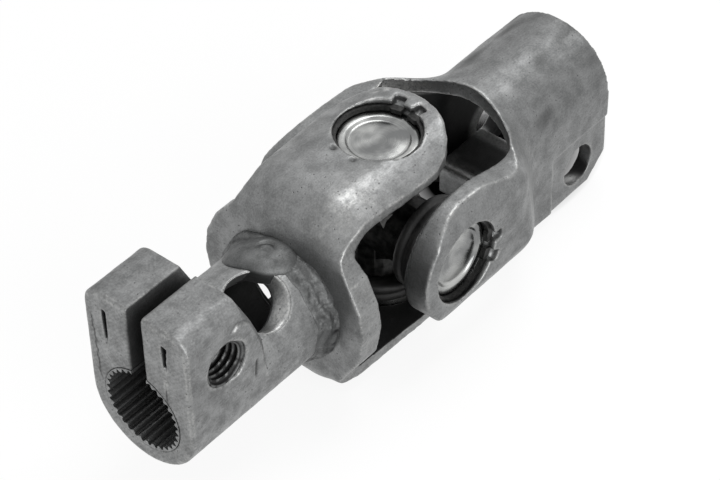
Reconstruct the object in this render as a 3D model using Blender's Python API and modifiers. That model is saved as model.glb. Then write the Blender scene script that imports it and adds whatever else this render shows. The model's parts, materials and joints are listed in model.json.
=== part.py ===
"""A steering shaft universal joint: a welded clamp yoke, a cross on needle bearings, a channel yoke.

Units are metres. X runs along the shaft from the clamp hub to the channel, Z is up.
The origin is the middle of the part's box in X and Y, on the surface that the lower ear
rests on. Every piece hangs on an empty at the joint centre, where both trunnion axes cross.
"""
import math

import bmesh
import bpy
from mathutils import Matrix, Quaternion, Vector

# Driving sizes of the joint itself
EAR_FACE = 0.0200             # joint centre to the outer face of every ear
EAR_CROWN = 0.0210            # shaft axis to the round shoulders of every ear
BORE_RADIUS = 0.0080          # hole for a bearing cup in an ear
RUNNING_GAP = 0.0001          # round fits that turn or press
SEAT_GAP = 0.0003             # flat faces that seat on each other
PAST = 0.001                  # how far a cutting tool runs past the face it cuts

# Clamp hub: a rolled sleeve with two folded lugs and a splined bore
HUB_FRONT = 0.0610            # joint centre to the hub's open end
HUB_RADIUS = 0.0114
SPLINE_TIP_RADIUS = 0.0073
SPLINE_ROOT_RADIUS = 0.0079
SPLINE_TEETH = 32
SPLINE_LENGTH = 0.0210
LUG_HEIGHT = 0.0221           # shaft axis to the top of a lug
LUG_LENGTH = 0.0130
LUG_SLOPE = 0.0034            # run of the slope behind the lugs
LUG_KNEE = 0.0152             # shaft axis to where that slope turns steep
LUG_FOOT_RUN = 0.0014
LUG_FOOT = 0.0114             # shaft axis to the foot of the lugs' back
LUG_CORNER = 0.0034
SLOT_WIDTH = 0.0033
SLOT_LENGTH = 0.0176
HUB_EDGE = 0.0005
CLAMP_BOLT_SETBACK = 0.0090   # open end to the clamp bolt's axis
CLAMP_BOLT_HEIGHT = 0.0111
THREAD_RADIUS = 0.0035        # tapped hole in the near lug
CLEARANCE_RADIUS = 0.0043     # plain hole in the far lug
THREAD_CHAMFER = 0.0011
HUB_SEAT = 0.0018             # how far the sleeve reaches into the yoke's base
MOUTH_FLARE = 0.0007          # chamfer at the inner end of the sleeve's bore
SIGHT_HOLE_RADIUS = 0.0058    # hole that shows how far the shaft is in
SIGHT_HOLE_SETBACK = 0.0239
SIGHT_HOLE_ANGLE = math.radians(25.7)
FOLD_OFFSETS = {"near": -0.0062, "far": 0.0070}   # crevice inside each folded lug
FOLD_TOP = 0.0188
FOLD_BOTTOM = 0.0085
FOLD_WIDTH = 0.0011
FOLD_TAIL = 0.0003

# Clamp yoke: a plate bent to a U
PLATE = 0.0050
YOKE_BACK = 0.0260            # joint centre to the outer face of the yoke's base
YOKE_BEND = 0.0100            # outer radius of the upper bend
YOKE_LOWER_BEND = 0.0068      # the lower one came out tighter
YOKE_BASE_RADIUS = 0.0181     # round outline of the base
EAR_HALF_WIDTH = 0.0127
EAR_TIP = 0.0114              # joint centre to the tip of an ear
YOKE_WAIST = 0.0118           # half width where an ear meets the bend
WAIST_FILLET = 0.0009
SOCKET_FLARE = 0.0014         # chamfer inside the yoke's base, round the sleeve

# Weld between hub and clamp yoke
WELD_RISE = 0.0019            # bead height on the plate
WELD_RUN = 0.0040             # bead length along the sleeve
PUDDLE_RADIUS = 0.0058
PUDDLE_RISE = 0.0022
PUDDLE_SETBACK = 0.0036
PUDDLE_ANGLE = math.radians(-6.0)
CRATER_RADIUS = 0.0026

# Channel yoke: ears that draw in to a channel open below
CHANNEL_END = 0.0519          # joint centre to the channel's end
CHANNEL_RADIUS = 0.0123
CHANNEL_WALL = 0.0034
CHANNEL_DEPTH = 0.0181        # shaft axis to the flanks' lower edge
CHANNEL_EAR_WALL = 0.0054
CHANNEL_EAR_TIP = 0.0112
CHANNEL_EAR_HALF_WIDTH = 0.0123
CHANNEL_EAR_CROWN = 0.0215    # shaft axis to the round shoulders of the channel's ears
NECK_EAR_TOP = 0.0101         # shaft axis to the ear's upper edge where the neck begins
NECK_RUN = 0.0120             # run of the upper edge's fall from the ear to the neck
DRAW_START = 0.0180           # joint centre to where the ears begin to draw in
DRAW_END = 0.0302
SHOULDER_LEAD = 0.0058        # how much sooner the ears' upper shoulders draw in
RIM_SHOULDER = 0.0222         # joint centre to the top of the rise behind the neck
RIM_RISE = 0.0062             # run of that rise
RIM_NOSE = 0.0036             # from there to the middle of the web's rim
RIM_RADIUS = 0.0180
END_CHAMFER_RUN = 0.0050
END_CHAMFER_RISE = 0.0042
CHANNEL_BOLT_SETBACK = 0.0083
CHANNEL_BOLT_DROP = 0.0121
CHANNEL_BOLT_RADIUS = 0.0042
FLAT_DEPTH = 0.0004           # flat pressed round each channel bolt hole
FLAT_LENGTH = 0.0168
FLAT_TOP = -0.0050
TAB_FRONT = 0.0262            # stop tab bent across the channel's floor
TAB_BACK = 0.0392
TAB_TOP = -0.0103
TAB_THICKNESS = 0.0042
TAB_LIP = -0.0176             # lower edge of the tab's front, bent down
TAB_CREVICE = 0.0012

# Cross, bearings, seals and snap rings
TRUNNION_RADIUS = 0.0048
TRUNNION_CHAMFER = 0.0005
SHOULDER_RADIUS = 0.0062
SHOULDER_END = 0.0094
CROSS_BODY_RADIUS = 0.0078
CROSS_BODY_HALF = 0.0052
CUP_WALL = 0.0010
CUP_FACE = 0.0178             # joint centre to the cup's closed end
CUP_END_WALL = 0.0013
CUP_MOUTH = 0.0112
CUP_EDGE = 0.0006
CUP_LAND_OUTER = 0.0071
CUP_LAND_INNER = 0.0058
CUP_DISH = 0.0005
NEEDLE_COUNT = 18
NEEDLE_SPREAD = math.radians(68.0)
SEAL_THICKNESS = 0.0010
SEAL_LIP = 0.0009
RING_THICKNESS = 0.0009
RING_INNER_RADIUS = 0.0074
GROOVE_RADIUS = 0.0085
RING_GAP_ANGLE = math.radians(12.0)
RING_LUG_RADIUS = 0.0070
RING_LUG_ANGLE = math.radians(15.0)
NOTCH_DEPTH = 0.0017
NOTCH_WIDTH = 0.0022
NOTCH_RADIUS = 0.0098
NOTCH_ANGLE = math.radians(14.5)

ROUND_STEPS = 32
ARC_STEPS = 8

# The channel's flanks stop short of the surface that the lower ear rests on.
MIDDLE = (CHANNEL_END - HUB_FRONT) / 2
JOINT_CENTRE = Vector((-MIDDLE, 0.0, EAR_FACE))

CUP_FLOOR = CUP_FACE - CUP_END_WALL
CUP_INNER = BORE_RADIUS - RUNNING_GAP - CUP_WALL
TRUNNION_END = CUP_FLOOR - SEAT_GAP

TRUNNIONS = {"top": 0.0, "bottom": math.pi, "near": math.pi / 2, "far": -math.pi / 2}
RING_TURN = {"top": 0.0, "bottom": 0.0, "near": math.radians(-13.0), "far": math.radians(13.0)}

CUTTERS = "cutters"
PARTS = "steering_joint"


def material(name, colour, roughness, metallic):
    """A Principled material that also colours the viewport."""
    made = bpy.data.materials.new(name)
    made.use_nodes = True
    shader = made.node_tree.nodes["Principled BSDF"]
    shader.inputs["Base Color"].default_value = (*colour, 1.0)
    shader.inputs["Roughness"].default_value = roughness
    shader.inputs["Metallic"].default_value = metallic
    made.diffuse_color = (*colour, 1.0)
    return made


def arc(centre_x, centre_y, radius, start, end, steps=ARC_STEPS):
    """Points along an arc between two angles in degrees."""
    points = []
    for step in range(steps + 1):
        angle = math.radians(start + (end - start) * step / steps)
        points.append((centre_x + radius * math.cos(angle), centre_y + radius * math.sin(angle)))
    return points


def smooth(value, low, high):
    """Rises from 0 at low to 1 at high with level ends."""
    share = min(max((value - low) / (high - low), 0.0), 1.0)
    return share * share * (3 - 2 * share)


def crown_line(crown, reach):
    """One round shoulder of an ear from its flat land out to a reach, as (across, height)."""
    start = math.sqrt(crown ** 2 - EAR_FACE ** 2)
    points = [(start, EAR_FACE)]
    steps = ARC_STEPS // 2
    for step in range(1, steps + 1):
        across = start + (reach - start) * step / steps
        points.append((across, math.sqrt(crown ** 2 - across ** 2)))
    return points


def put(thing, collection, parent, paint=None):
    """Links an object, hangs it on a parent and paints it; a cutter stays out of the render."""
    bpy.data.collections[collection].objects.link(thing)
    thing.parent = parent
    if paint:
        thing.data.materials.append(paint)
    if collection == CUTTERS:
        thing.hide_render = True
        thing.display_type = "WIRE"
    return thing


def mesh_object(name, shape):
    """Makes an object of a finished bmesh."""
    bmesh.ops.recalc_face_normals(shape, faces=shape.faces)
    if shape.calc_volume(signed=True) < 0:
        bmesh.ops.reverse_faces(shape, faces=shape.faces)
    mesh = bpy.data.meshes.new(name)
    shape.to_mesh(mesh)
    shape.free()
    return bpy.data.objects.new(name, mesh)


def extruded(name, outline, low, high, plane):
    """A flat outline given a thickness: XY along Z, XZ along Y or YZ along X."""
    curve = bpy.data.curves.new(name, "CURVE")
    curve.dimensions = "2D"
    curve.fill_mode = "BOTH"
    curve.extrude = (high - low) / 2
    spline = curve.splines.new("POLY")
    spline.points.add(len(outline) - 1)
    for point, place in zip(spline.points, outline):
        point.co = (*place, 0.0, 1.0)
    spline.use_cyclic_u = True
    drawn = bpy.data.objects.new(name, curve)
    bpy.data.collections[CUTTERS].objects.link(drawn)
    bpy.context.view_layer.update()
    evaluated = drawn.evaluated_get(bpy.context.evaluated_depsgraph_get())
    mesh = bpy.data.meshes.new_from_object(evaluated)
    bpy.data.objects.remove(drawn)
    shape = bmesh.new()
    shape.from_mesh(mesh)
    bpy.data.meshes.remove(mesh)
    bmesh.ops.remove_doubles(shape, verts=shape.verts, dist=1e-7)
    middle = (low + high) / 2
    for vertex in shape.verts:
        across, up, through = vertex.co
        if plane == "XY":
            vertex.co = (across, up, through + middle)
        elif plane == "XZ":
            vertex.co = (across, middle - through, up)
        else:
            vertex.co = (through + middle, across, up)
    return mesh_object(name, shape)


def turned(name, profile, steps=ROUND_STEPS, closed=False):
    """A profile of (radius, height) points turned about Z, with its outer side run top to bottom."""
    shape = bmesh.new()
    rim = [shape.verts.new((radius, 0.0, height)) for radius, height in profile]
    for first, second in zip(rim, rim[1:]):
        shape.edges.new((first, second))
    if closed:
        shape.edges.new((rim[-1], rim[0]))
    mesh = bpy.data.meshes.new(name)
    shape.to_mesh(mesh)
    shape.free()
    made = bpy.data.objects.new(name, mesh)
    screw = made.modifiers.new("turn", "SCREW")
    screw.steps = steps
    screw.render_steps = steps
    screw.use_merge_vertices = True
    screw.merge_threshold = 1e-6
    screw.use_smooth_shade = True
    return made


def rod(name, radius, low, high, steps=ROUND_STEPS):
    """A solid cylinder along its own Z."""
    return turned(name, [(0.0, high), (radius, high), (radius, low), (0.0, low)], steps)


def lofted(name, sections):
    """Skins closed sections of equal point count and caps both ends."""
    shape = bmesh.new()
    rings = [[shape.verts.new(point) for point in section] for section in sections]
    for ring, following in zip(rings, rings[1:]):
        for index in range(len(ring)):
            after = (index + 1) % len(ring)
            shape.faces.new((ring[index], ring[after], following[after], following[index]))
    shape.faces.new(rings[0])
    shape.faces.new(list(reversed(rings[-1])))
    return mesh_object(name, shape)


def combine(target, tool, operation):
    """Adds, subtracts or keeps the overlap of a tool that stays in the cutters' collection."""
    step = target.modifiers.new(tool.name, "BOOLEAN")
    step.operation = operation
    step.object = tool
    step.solver = "EXACT"


def cut(target, tool, operation="DIFFERENCE"):
    """Hangs a tool on its target's parent and combines the two."""
    put(tool, CUTTERS, target.parent)
    combine(target, tool, operation)


def shade(thing, angle=30.0):
    """Smooth round faces with sharp corners."""
    thing.data.shade_smooth()
    thing.data.set_sharp_from_angle(angle=math.radians(angle))


def hub_section(x, top, inset):
    """The sleeve seen along the shaft, with lugs up to a height or, without a height, round."""
    radius = HUB_RADIUS - inset
    bottom = arc(0.0, 0.0, radius, 180.0, 360.0, 24)
    if top is None:
        upper = arc(0.0, 0.0, radius, 0.0, 180.0, 24)[1:-1]
    else:
        across = radius - LUG_CORNER
        level = top - inset - LUG_CORNER
        near_corner = arc(across, level, LUG_CORNER, 0.0, 90.0, 10)
        far_corner = arc(-across, level, LUG_CORNER, 90.0, 180.0, 10)
        upper = near_corner + [(0.0, top - inset)] + far_corner
    return [Vector((x, y, z)) for y, z in bottom + upper]


def bore_section(x, tip, root):
    """The hub's bore seen along the shaft, its points on two radii by turns."""
    points = []
    for index in range(2 * SPLINE_TEETH):
        angle = math.pi * index / SPLINE_TEETH
        radius = root if index % 2 else tip
        points.append(Vector((x, radius * math.cos(angle), radius * math.sin(angle))))
    return points


def clamp_hub(pivot, paint):
    """The rolled sleeve with splined bore, slot, folded lugs, bolt holes and sight hole."""
    front = -HUB_FRONT
    lug_back = front + LUG_LENGTH
    lug_foot = lug_back + LUG_SLOPE + LUG_FOOT_RUN
    back = -YOKE_BACK + HUB_SEAT
    sections = [
        hub_section(front, LUG_HEIGHT, HUB_EDGE),
        hub_section(front + HUB_EDGE, LUG_HEIGHT, 0.0),
        hub_section(lug_back, LUG_HEIGHT, 0.0),
        hub_section(lug_back + LUG_SLOPE, LUG_KNEE, 0.0),
        hub_section(lug_foot, LUG_FOOT, 0.0),
        hub_section(lug_foot + HUB_EDGE, None, 0.0),
        hub_section(back - HUB_EDGE, None, 0.0),
        hub_section(back, None, HUB_EDGE),
    ]
    hub = put(lofted("clamp_hub", sections), PARTS, pivot, paint)

    spline_back = front + SPLINE_LENGTH
    smooth_bore = SPLINE_ROOT_RADIUS + RUNNING_GAP
    flared_bore = smooth_bore + MOUTH_FLARE + PAST
    bore = [
        bore_section(front - PAST, SPLINE_TIP_RADIUS, SPLINE_ROOT_RADIUS),
        bore_section(spline_back, SPLINE_TIP_RADIUS, SPLINE_ROOT_RADIUS),
        bore_section(spline_back, smooth_bore, smooth_bore),
        bore_section(back - MOUTH_FLARE, smooth_bore, smooth_bore),
        bore_section(back + PAST, flared_bore, flared_bore),
    ]
    cut(hub, lofted("splined_bore_cut", bore))

    slot_end = front + SLOT_LENGTH
    half_slot = SLOT_WIDTH / 2
    slot = arc(slot_end - half_slot, 0.0, half_slot, -90.0, 90.0)
    slot += [(front - PAST, half_slot), (front - PAST, -half_slot)]
    cut(hub, extruded("slot_cut", slot, 0.0, LUG_HEIGHT + PAST, "XY"))

    bolt_x = front + CLAMP_BOLT_SETBACK
    reach = HUB_RADIUS + PAST
    tapped_profile = [
        (0.0, reach),
        (THREAD_RADIUS + THREAD_CHAMFER + PAST, reach),
        (THREAD_RADIUS, HUB_RADIUS - THREAD_CHAMFER),
        (THREAD_RADIUS, 0.0),
        (0.0, 0.0),
    ]
    tapped = turned("tapped_hole_cut", tapped_profile)
    tapped.location = (bolt_x, 0.0, CLAMP_BOLT_HEIGHT)
    tapped.rotation_euler.x = math.pi / 2
    cut(hub, tapped)
    plain = rod("plain_hole_cut", CLEARANCE_RADIUS, 0.0, reach)
    plain.location = (bolt_x, 0.0, CLAMP_BOLT_HEIGHT)
    plain.rotation_euler.x = -math.pi / 2
    cut(hub, plain)

    sight = rod("sight_hole_cut", SIGHT_HOLE_RADIUS, 0.0, HUB_RADIUS + PAST)
    sight.location = (front + SIGHT_HOLE_SETBACK, 0.0, 0.0)
    sight.rotation_euler.x = SIGHT_HOLE_ANGLE
    cut(hub, sight)

    for name, middle in FOLD_OFFSETS.items():
        mouth = FOLD_WIDTH / 2
        tail = FOLD_TAIL / 2
        crevice = arc(middle, FOLD_TOP - mouth, mouth, 0.0, 180.0, 6)
        crevice += [(middle - tail, FOLD_BOTTOM), (middle + tail, FOLD_BOTTOM)]
        cut(hub, extruded("fold_cut_" + name, crevice, front - PAST, lug_back - PAST, "YZ"))
    shade(hub)
    return hub


def weld_bead(pivot, paint):
    """A fillet round the sleeve with a round puddle and crater where the weld ends."""
    inner = HUB_RADIUS + SEAT_GAP
    plate_face = YOKE_BACK + SEAT_GAP
    root = plate_face - WELD_RISE
    profile = [
        (inner, plate_face + WELD_RUN),
        (inner + WELD_RISE * 0.30, plate_face + WELD_RUN * 0.80),
        (inner + WELD_RISE * 0.72, plate_face + WELD_RUN * 0.42),
        (inner + WELD_RISE, plate_face + WELD_RUN * 0.10),
        (inner + WELD_RISE, root),
        (inner, root),
    ]
    bead = put(turned("weld_bead", profile, closed=True), PARTS, pivot, paint)
    bead.rotation_euler.y = -math.pi / 2

    puddle_shape = bmesh.new()
    bmesh.ops.create_uvsphere(puddle_shape, u_segments=24, v_segments=12, radius=PUDDLE_RADIUS)
    puddle = mesh_object("puddle", puddle_shape)
    puddle.data.transform(Matrix.Diagonal((1.0, 1.0, PUDDLE_RISE / PUDDLE_RADIUS, 1.0)))
    puddle_x = -YOKE_BACK - PUDDLE_SETBACK
    puddle.rotation_euler = (-PUDDLE_ANGLE, 0.0, 0.0)
    puddle.location = (
        puddle_x,
        -math.sin(PUDDLE_ANGLE) * inner,
        math.cos(PUDDLE_ANGLE) * inner,
    )
    cut(bead, puddle, "UNION")

    crater_shape = bmesh.new()
    bmesh.ops.create_uvsphere(crater_shape, u_segments=12, v_segments=8, radius=CRATER_RADIUS)
    crater = mesh_object("crater_cut", crater_shape)
    crater_height = inner + PUDDLE_RISE + CRATER_RADIUS * 0.80
    crater.location = (
        puddle_x,
        -math.sin(PUDDLE_ANGLE) * crater_height,
        math.cos(PUDDLE_ANGLE) * crater_height,
    )
    cut(bead, crater)

    sleeve = rod("sleeve_cut", inner, 0.0, HUB_FRONT)
    sleeve.rotation_euler.y = -math.pi / 2
    cut(bead, sleeve)
    width = YOKE_BASE_RADIUS
    plate_outline = [(0.0, EAR_FACE)] + outer_bends(SEAT_GAP) + [(0.0, -EAR_FACE)]
    plate = extruded("plate_cut", plate_outline, -width, width, "XZ")
    cut(bead, plate)
    shade(bead)
    return bead


def bore_tool(name, face, axis_turn):
    """The through bore of a pair of ears with a snap ring groove under each face."""
    groove_top = CUP_FACE + RUNNING_GAP + RING_THICKNESS + RUNNING_GAP
    groove_low = CUP_FACE
    half = [
        (BORE_RADIUS, face + PAST),
        (BORE_RADIUS, groove_top),
        (GROOVE_RADIUS, groove_top),
        (GROOVE_RADIUS, groove_low),
        (BORE_RADIUS, groove_low),
    ]
    lower = [(radius, -height) for radius, height in reversed(half)]
    profile = [(0.0, face + PAST)] + half + lower + [(0.0, -face - PAST)]
    tool = turned(name, profile)
    tool.rotation_euler.x = axis_turn
    return tool


def notch_tools(yoke, names):
    """Two short notches at the rim of each bore, where pliers reach the ring's ends."""
    half = NOTCH_WIDTH / 2
    for name in names:
        for side in (-1, 1):
            outline = [
                (BORE_RADIUS - PAST, -half),
                (NOTCH_RADIUS, -half),
                (NOTCH_RADIUS, half),
                (BORE_RADIUS - PAST, half),
            ]
            turn = RING_TURN[name] + side * NOTCH_ANGLE
            turned_outline = [
                (x * math.cos(turn) - y * math.sin(turn), x * math.sin(turn) + y * math.cos(turn))
                for x, y in outline
            ]
            label = "notch_cut_%s_%s" % (name, "a" if side < 0 else "b")
            tool = extruded(label, turned_outline, EAR_FACE - NOTCH_DEPTH, EAR_FACE + PAST, "XY")
            tool.rotation_euler.x = TRUNNIONS[name]
            cut(yoke, tool)


def outer_bends(grown):
    """The clamp yoke's outer line in side view, round both bends, grown by a distance."""
    line = []
    for bend, side, start in ((YOKE_BEND, 1, 90.0), (YOKE_LOWER_BEND, -1, 180.0)):
        centre = (-YOKE_BACK + bend, side * (EAR_FACE - bend))
        line += arc(*centre, bend + grown, start, start + 90.0)
    return line


def base_half_width(level):
    """Half width of the clamp yoke at a height: its round base runs softly into the waist."""
    disc = math.sqrt(max(YOKE_BASE_RADIUS ** 2 - level ** 2, 0.0))
    return (YOKE_WAIST + disc + math.hypot(YOKE_WAIST - disc, WAIST_FILLET)) / 2


def strip_section(place, outward, half_width, crown_share):
    """The bent strip cut across: crowned outside, flat inside, a plate's thickness apart."""
    land = min(math.sqrt(EAR_CROWN ** 2 - EAR_FACE ** 2), half_width / 2)
    steps = ARC_STEPS // 2
    outer = []
    for step in range(steps + 1):
        across = land + (half_width - land) * step / steps
        drop = (EAR_FACE - math.sqrt(EAR_CROWN ** 2 - across ** 2)) * crown_share if step else 0.0
        outer.append((across, -max(drop, 0.0)))
    around = [(-across, depth) for across, depth in reversed(outer)] + outer
    around += [(half_width, -PLATE), (-half_width, -PLATE)]
    return [Vector((place[0] + outward[0] * depth, across, place[1] + outward[1] * depth))
            for across, depth in around]


def leg_stations(bend):
    """Stations from an ear's tip round its bend: place, outward, half width, crown."""
    tip_centre = EAR_TIP - EAR_HALF_WIDTH
    bend_x = -YOKE_BACK + bend
    bend_z = EAR_FACE - bend
    leg = []
    for angle in (6.0, 20.0, 35.0, 50.0, 65.0, 80.0, 95.0):
        turn = math.radians(angle)
        place = (tip_centre + EAR_HALF_WIDTH * math.cos(turn), EAR_FACE)
        leg.append((place, (0.0, 1.0), EAR_HALF_WIDTH * math.sin(turn), 1.0))
    leg.append(((bend_x, EAR_FACE), (0.0, 1.0), base_half_width(EAR_FACE), 1.0))
    for step in range(1, ARC_STEPS + 1):
        turn = math.pi / 2 * (1 + step / ARC_STEPS)
        outward = (math.cos(turn), math.sin(turn))
        place = (bend_x + bend * outward[0], bend_z + bend * outward[1])
        crown_share = 1 - smooth(turn, math.radians(115.0), math.pi)
        leg.append((place, outward, base_half_width(place[1]), crown_share))
    leg.append(((-YOKE_BACK, bend_z / 2), (-1.0, 0.0), base_half_width(bend_z / 2), 0.0))
    return leg


def hub_yoke(pivot, paint):
    """A plate bent to a U, round at the base, with crowned ears."""
    upper = leg_stations(YOKE_BEND)
    middle = [((-YOKE_BACK, 0.0), (-1.0, 0.0), base_half_width(0.0), 0.0)]
    lower = [((x, -z), (out_x, -out_z), half, share)
             for (x, z), (out_x, out_z), half, share in reversed(leg_stations(YOKE_LOWER_BEND))]
    sections = [strip_section(*station) for station in upper + middle + lower]
    yoke = put(lofted("hub_yoke", sections), PARTS, pivot, paint)

    cut(yoke, bore_tool("hub_yoke_bore_cut", EAR_FACE, 0.0))
    notch_tools(yoke, ("top", "bottom"))
    socket_radius = HUB_RADIUS + SEAT_GAP
    seat = YOKE_BACK - HUB_SEAT
    inside = YOKE_BACK - PLATE
    socket_profile = [
        (0.0, YOKE_BACK + PAST),
        (socket_radius, YOKE_BACK + PAST),
        (socket_radius, seat),
        (socket_radius + SOCKET_FLARE, inside),
        (socket_radius + SOCKET_FLARE, inside - PAST),
        (0.0, inside - PAST),
    ]
    socket = turned("sleeve_socket_cut", socket_profile)
    socket.rotation_euler.y = -math.pi / 2
    cut(yoke, socket)
    shade(yoke)
    return yoke


def draw_in(x, lead=0.0):
    """How far the channel yoke has drawn in from its ears to its channel, from 0 to 1."""
    return smooth(x, DRAW_START - lead, DRAW_END)


def half_width(x):
    """Outer half width of the channel yoke at a station along the shaft."""
    return EAR_FACE + (CHANNEL_RADIUS - EAR_FACE) * draw_in(x)


def wall(x):
    """Sheet thickness at a station along the shaft."""
    return CHANNEL_EAR_WALL + (CHANNEL_WALL - CHANNEL_EAR_WALL) * draw_in(x)


def floor_level(x):
    """Lower edge of the channel yoke at a station along the shaft."""
    return -CHANNEL_EAR_HALF_WIDTH - (CHANNEL_DEPTH - CHANNEL_EAR_HALF_WIDTH) * draw_in(x)


def channel_section(x):
    """The channel yoke's U seen along the shaft: its outer line over, its inner line back."""
    drawn = draw_in(x)
    ear_top = CHANNEL_EAR_HALF_WIDTH + PAST
    depth = CHANNEL_DEPTH + PAST
    ear_inner = EAR_FACE - CHANNEL_EAR_WALL
    bend = CHANNEL_EAR_WALL * 0.6
    channel_inner = CHANNEL_RADIUS - CHANNEL_WALL
    roof = CHANNEL_RADIUS - CHANNEL_WALL
    shoulder = crown_line(CHANNEL_EAR_CROWN, ear_top)

    ear_outer = [(z, -y) for y, z in reversed(shoulder)]
    ear_outer += [(z, y) for y, z in shoulder]
    last = ear_outer[-1]
    ear_outer += [(last[0] * (1 - step / 4), last[1]) for step in range(1, 4)]
    lower = len(shoulder)
    count = len(ear_outer)
    straight = [(CHANNEL_RADIUS, -depth * (1 - step / lower)) for step in range(lower)]
    round_back = arc(0.0, 0.0, CHANNEL_RADIUS, 0.0, 90.0, count - lower)[:-1]
    channel_outer = straight + round_back

    ear_in = [(ear_inner, -ear_top), (ear_inner, roof - bend)]
    ear_in += arc(ear_inner - bend, roof - bend, bend, 0.0, 90.0, 4)[1:]
    last = ear_in[-1]
    ear_in += [(last[0] * (1 - step / 3), last[1]) for step in range(1, 3)]
    channel_in = [(channel_inner, -depth)]
    channel_in += arc(0.0, 0.0, channel_inner, 0.0, 90.0, len(ear_in) - 1)[:-1]

    def blend(ear, channel, lead):
        points = []
        for first, second in zip(ear, channel):
            share = draw_in(x, lead * max(first[1], 0.0) / ear_top)
            points.append(tuple(a * (1 - share) + b * share for a, b in zip(first, second)))
        return points

    outer = blend(ear_outer, channel_outer, SHOULDER_LEAD)
    inner = blend(ear_in, channel_in, 0.0)
    over = outer + [(0.0, ear_top * (1 - drawn) + CHANNEL_RADIUS * drawn)]
    over += [(-y, z) for y, z in reversed(outer)]
    back = [(y, z) for y, z in inner] + [(0.0, roof)] + [(-y, z) for y, z in reversed(inner)]
    return [Vector((x, y, z)) for y, z in over + list(reversed(back))]


def channel_yoke(pivot, paint):
    """Two crowned ears that draw in to a channel with a round back and an open floor."""
    stations = [-CHANNEL_EAR_TIP - PAST]
    count = 12
    start = DRAW_START - SHOULDER_LEAD
    stations += [start + (DRAW_END - start) * step / count for step in range(count + 1)]
    stations.append(CHANNEL_END + PAST)
    sections = [channel_section(x) for x in stations]
    yoke = put(lofted("channel_yoke", sections), PARTS, pivot, paint)

    tip_centre = CHANNEL_EAR_HALF_WIDTH - CHANNEL_EAR_TIP
    side = arc(tip_centre, 0.0, CHANNEL_EAR_HALF_WIDTH, 270.0, 90.0, 24)
    rise_start = RIM_SHOULDER - RIM_RISE
    neck_start = rise_start - NECK_RUN
    for step in range(1, 7):
        x = neck_start + NECK_RUN * step / 6
        fall = smooth(x, neck_start, rise_start)
        side.append((x, CHANNEL_EAR_HALF_WIDTH + (NECK_EAR_TOP - CHANNEL_EAR_HALF_WIDTH) * fall))
    for step in range(1, 7):
        x = rise_start + RIM_RISE * step / 6
        rise = smooth(x, rise_start, RIM_SHOULDER)
        side.append((x, NECK_EAR_TOP + (CHANNEL_RADIUS + PAST - NECK_EAR_TOP) * rise))
    side += [
        (CHANNEL_END, CHANNEL_RADIUS + PAST),
        (CHANNEL_END, -CHANNEL_DEPTH + END_CHAMFER_RISE),
        (CHANNEL_END - END_CHAMFER_RUN, -CHANNEL_DEPTH),
    ]
    for step in range(11):
        x = DRAW_END + (DRAW_START - DRAW_END) * step / 10
        side.append((x, floor_level(x)))
    width = EAR_FACE + PAST
    cut(yoke, extruded("side_outline", side, -width, width, "XZ"), "INTERSECT")

    ear_inner = EAR_FACE - CHANNEL_EAR_WALL
    rim_angle = math.degrees(math.asin(ear_inner / RIM_RADIUS))
    rim = arc(RIM_SHOULDER + RIM_NOSE - RIM_RADIUS, 0.0, RIM_RADIUS, rim_angle, -rim_angle, 20)
    mouth_front = -CHANNEL_EAR_TIP - 2 * PAST
    mouth = [(mouth_front, ear_inner)] + rim + [(mouth_front, -ear_inner)]
    cut(yoke, extruded("mouth_cut", mouth, -CHANNEL_DEPTH - PAST, CHANNEL_RADIUS + 2 * PAST, "XY"))

    tab_bottom = TAB_TOP - TAB_THICKNESS
    nose_radius = TAB_THICKNESS * 0.5
    tab = arc(TAB_FRONT + nose_radius, TAB_TOP - nose_radius, nose_radius, 180.0, 90.0, 5)
    tab += [(TAB_BACK, TAB_TOP), (TAB_BACK, tab_bottom)]
    tab += [(TAB_FRONT + TAB_THICKNESS, tab_bottom), (TAB_FRONT + TAB_THICKNESS, TAB_LIP)]
    tab += [(TAB_FRONT, TAB_LIP)]
    flank_inner = CHANNEL_RADIUS - CHANNEL_WALL
    cut(yoke, extruded("stop_tab", tab, -flank_inner - PAST, flank_inner - TAB_CREVICE, "XZ"), "UNION")

    cut(yoke, bore_tool("channel_yoke_bore_cut", EAR_FACE, math.pi / 2))
    notch_tools(yoke, ("near", "far"))
    bolt = rod("channel_bolt_cut", CHANNEL_BOLT_RADIUS, -CHANNEL_RADIUS - PAST, CHANNEL_RADIUS + PAST)
    bolt.location = (CHANNEL_END - CHANNEL_BOLT_SETBACK, 0.0, -CHANNEL_BOLT_DROP)
    bolt.rotation_euler.x = math.pi / 2
    cut(yoke, bolt)

    for side_sign, name in ((-1, "near"), (1, "far")):
        outline = [
            (CHANNEL_END - FLAT_LENGTH, -CHANNEL_DEPTH - PAST),
            (CHANNEL_END + PAST, -CHANNEL_DEPTH - PAST),
            (CHANNEL_END + PAST, FLAT_TOP),
            (CHANNEL_END - FLAT_LENGTH, FLAT_TOP),
        ]
        faces = sorted((side_sign * (CHANNEL_RADIUS - FLAT_DEPTH), side_sign * (CHANNEL_RADIUS + PAST)))
        cut(yoke, extruded("flat_cut_" + name, outline, faces[0], faces[1], "XZ"))
    shade(yoke)
    return yoke


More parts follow.
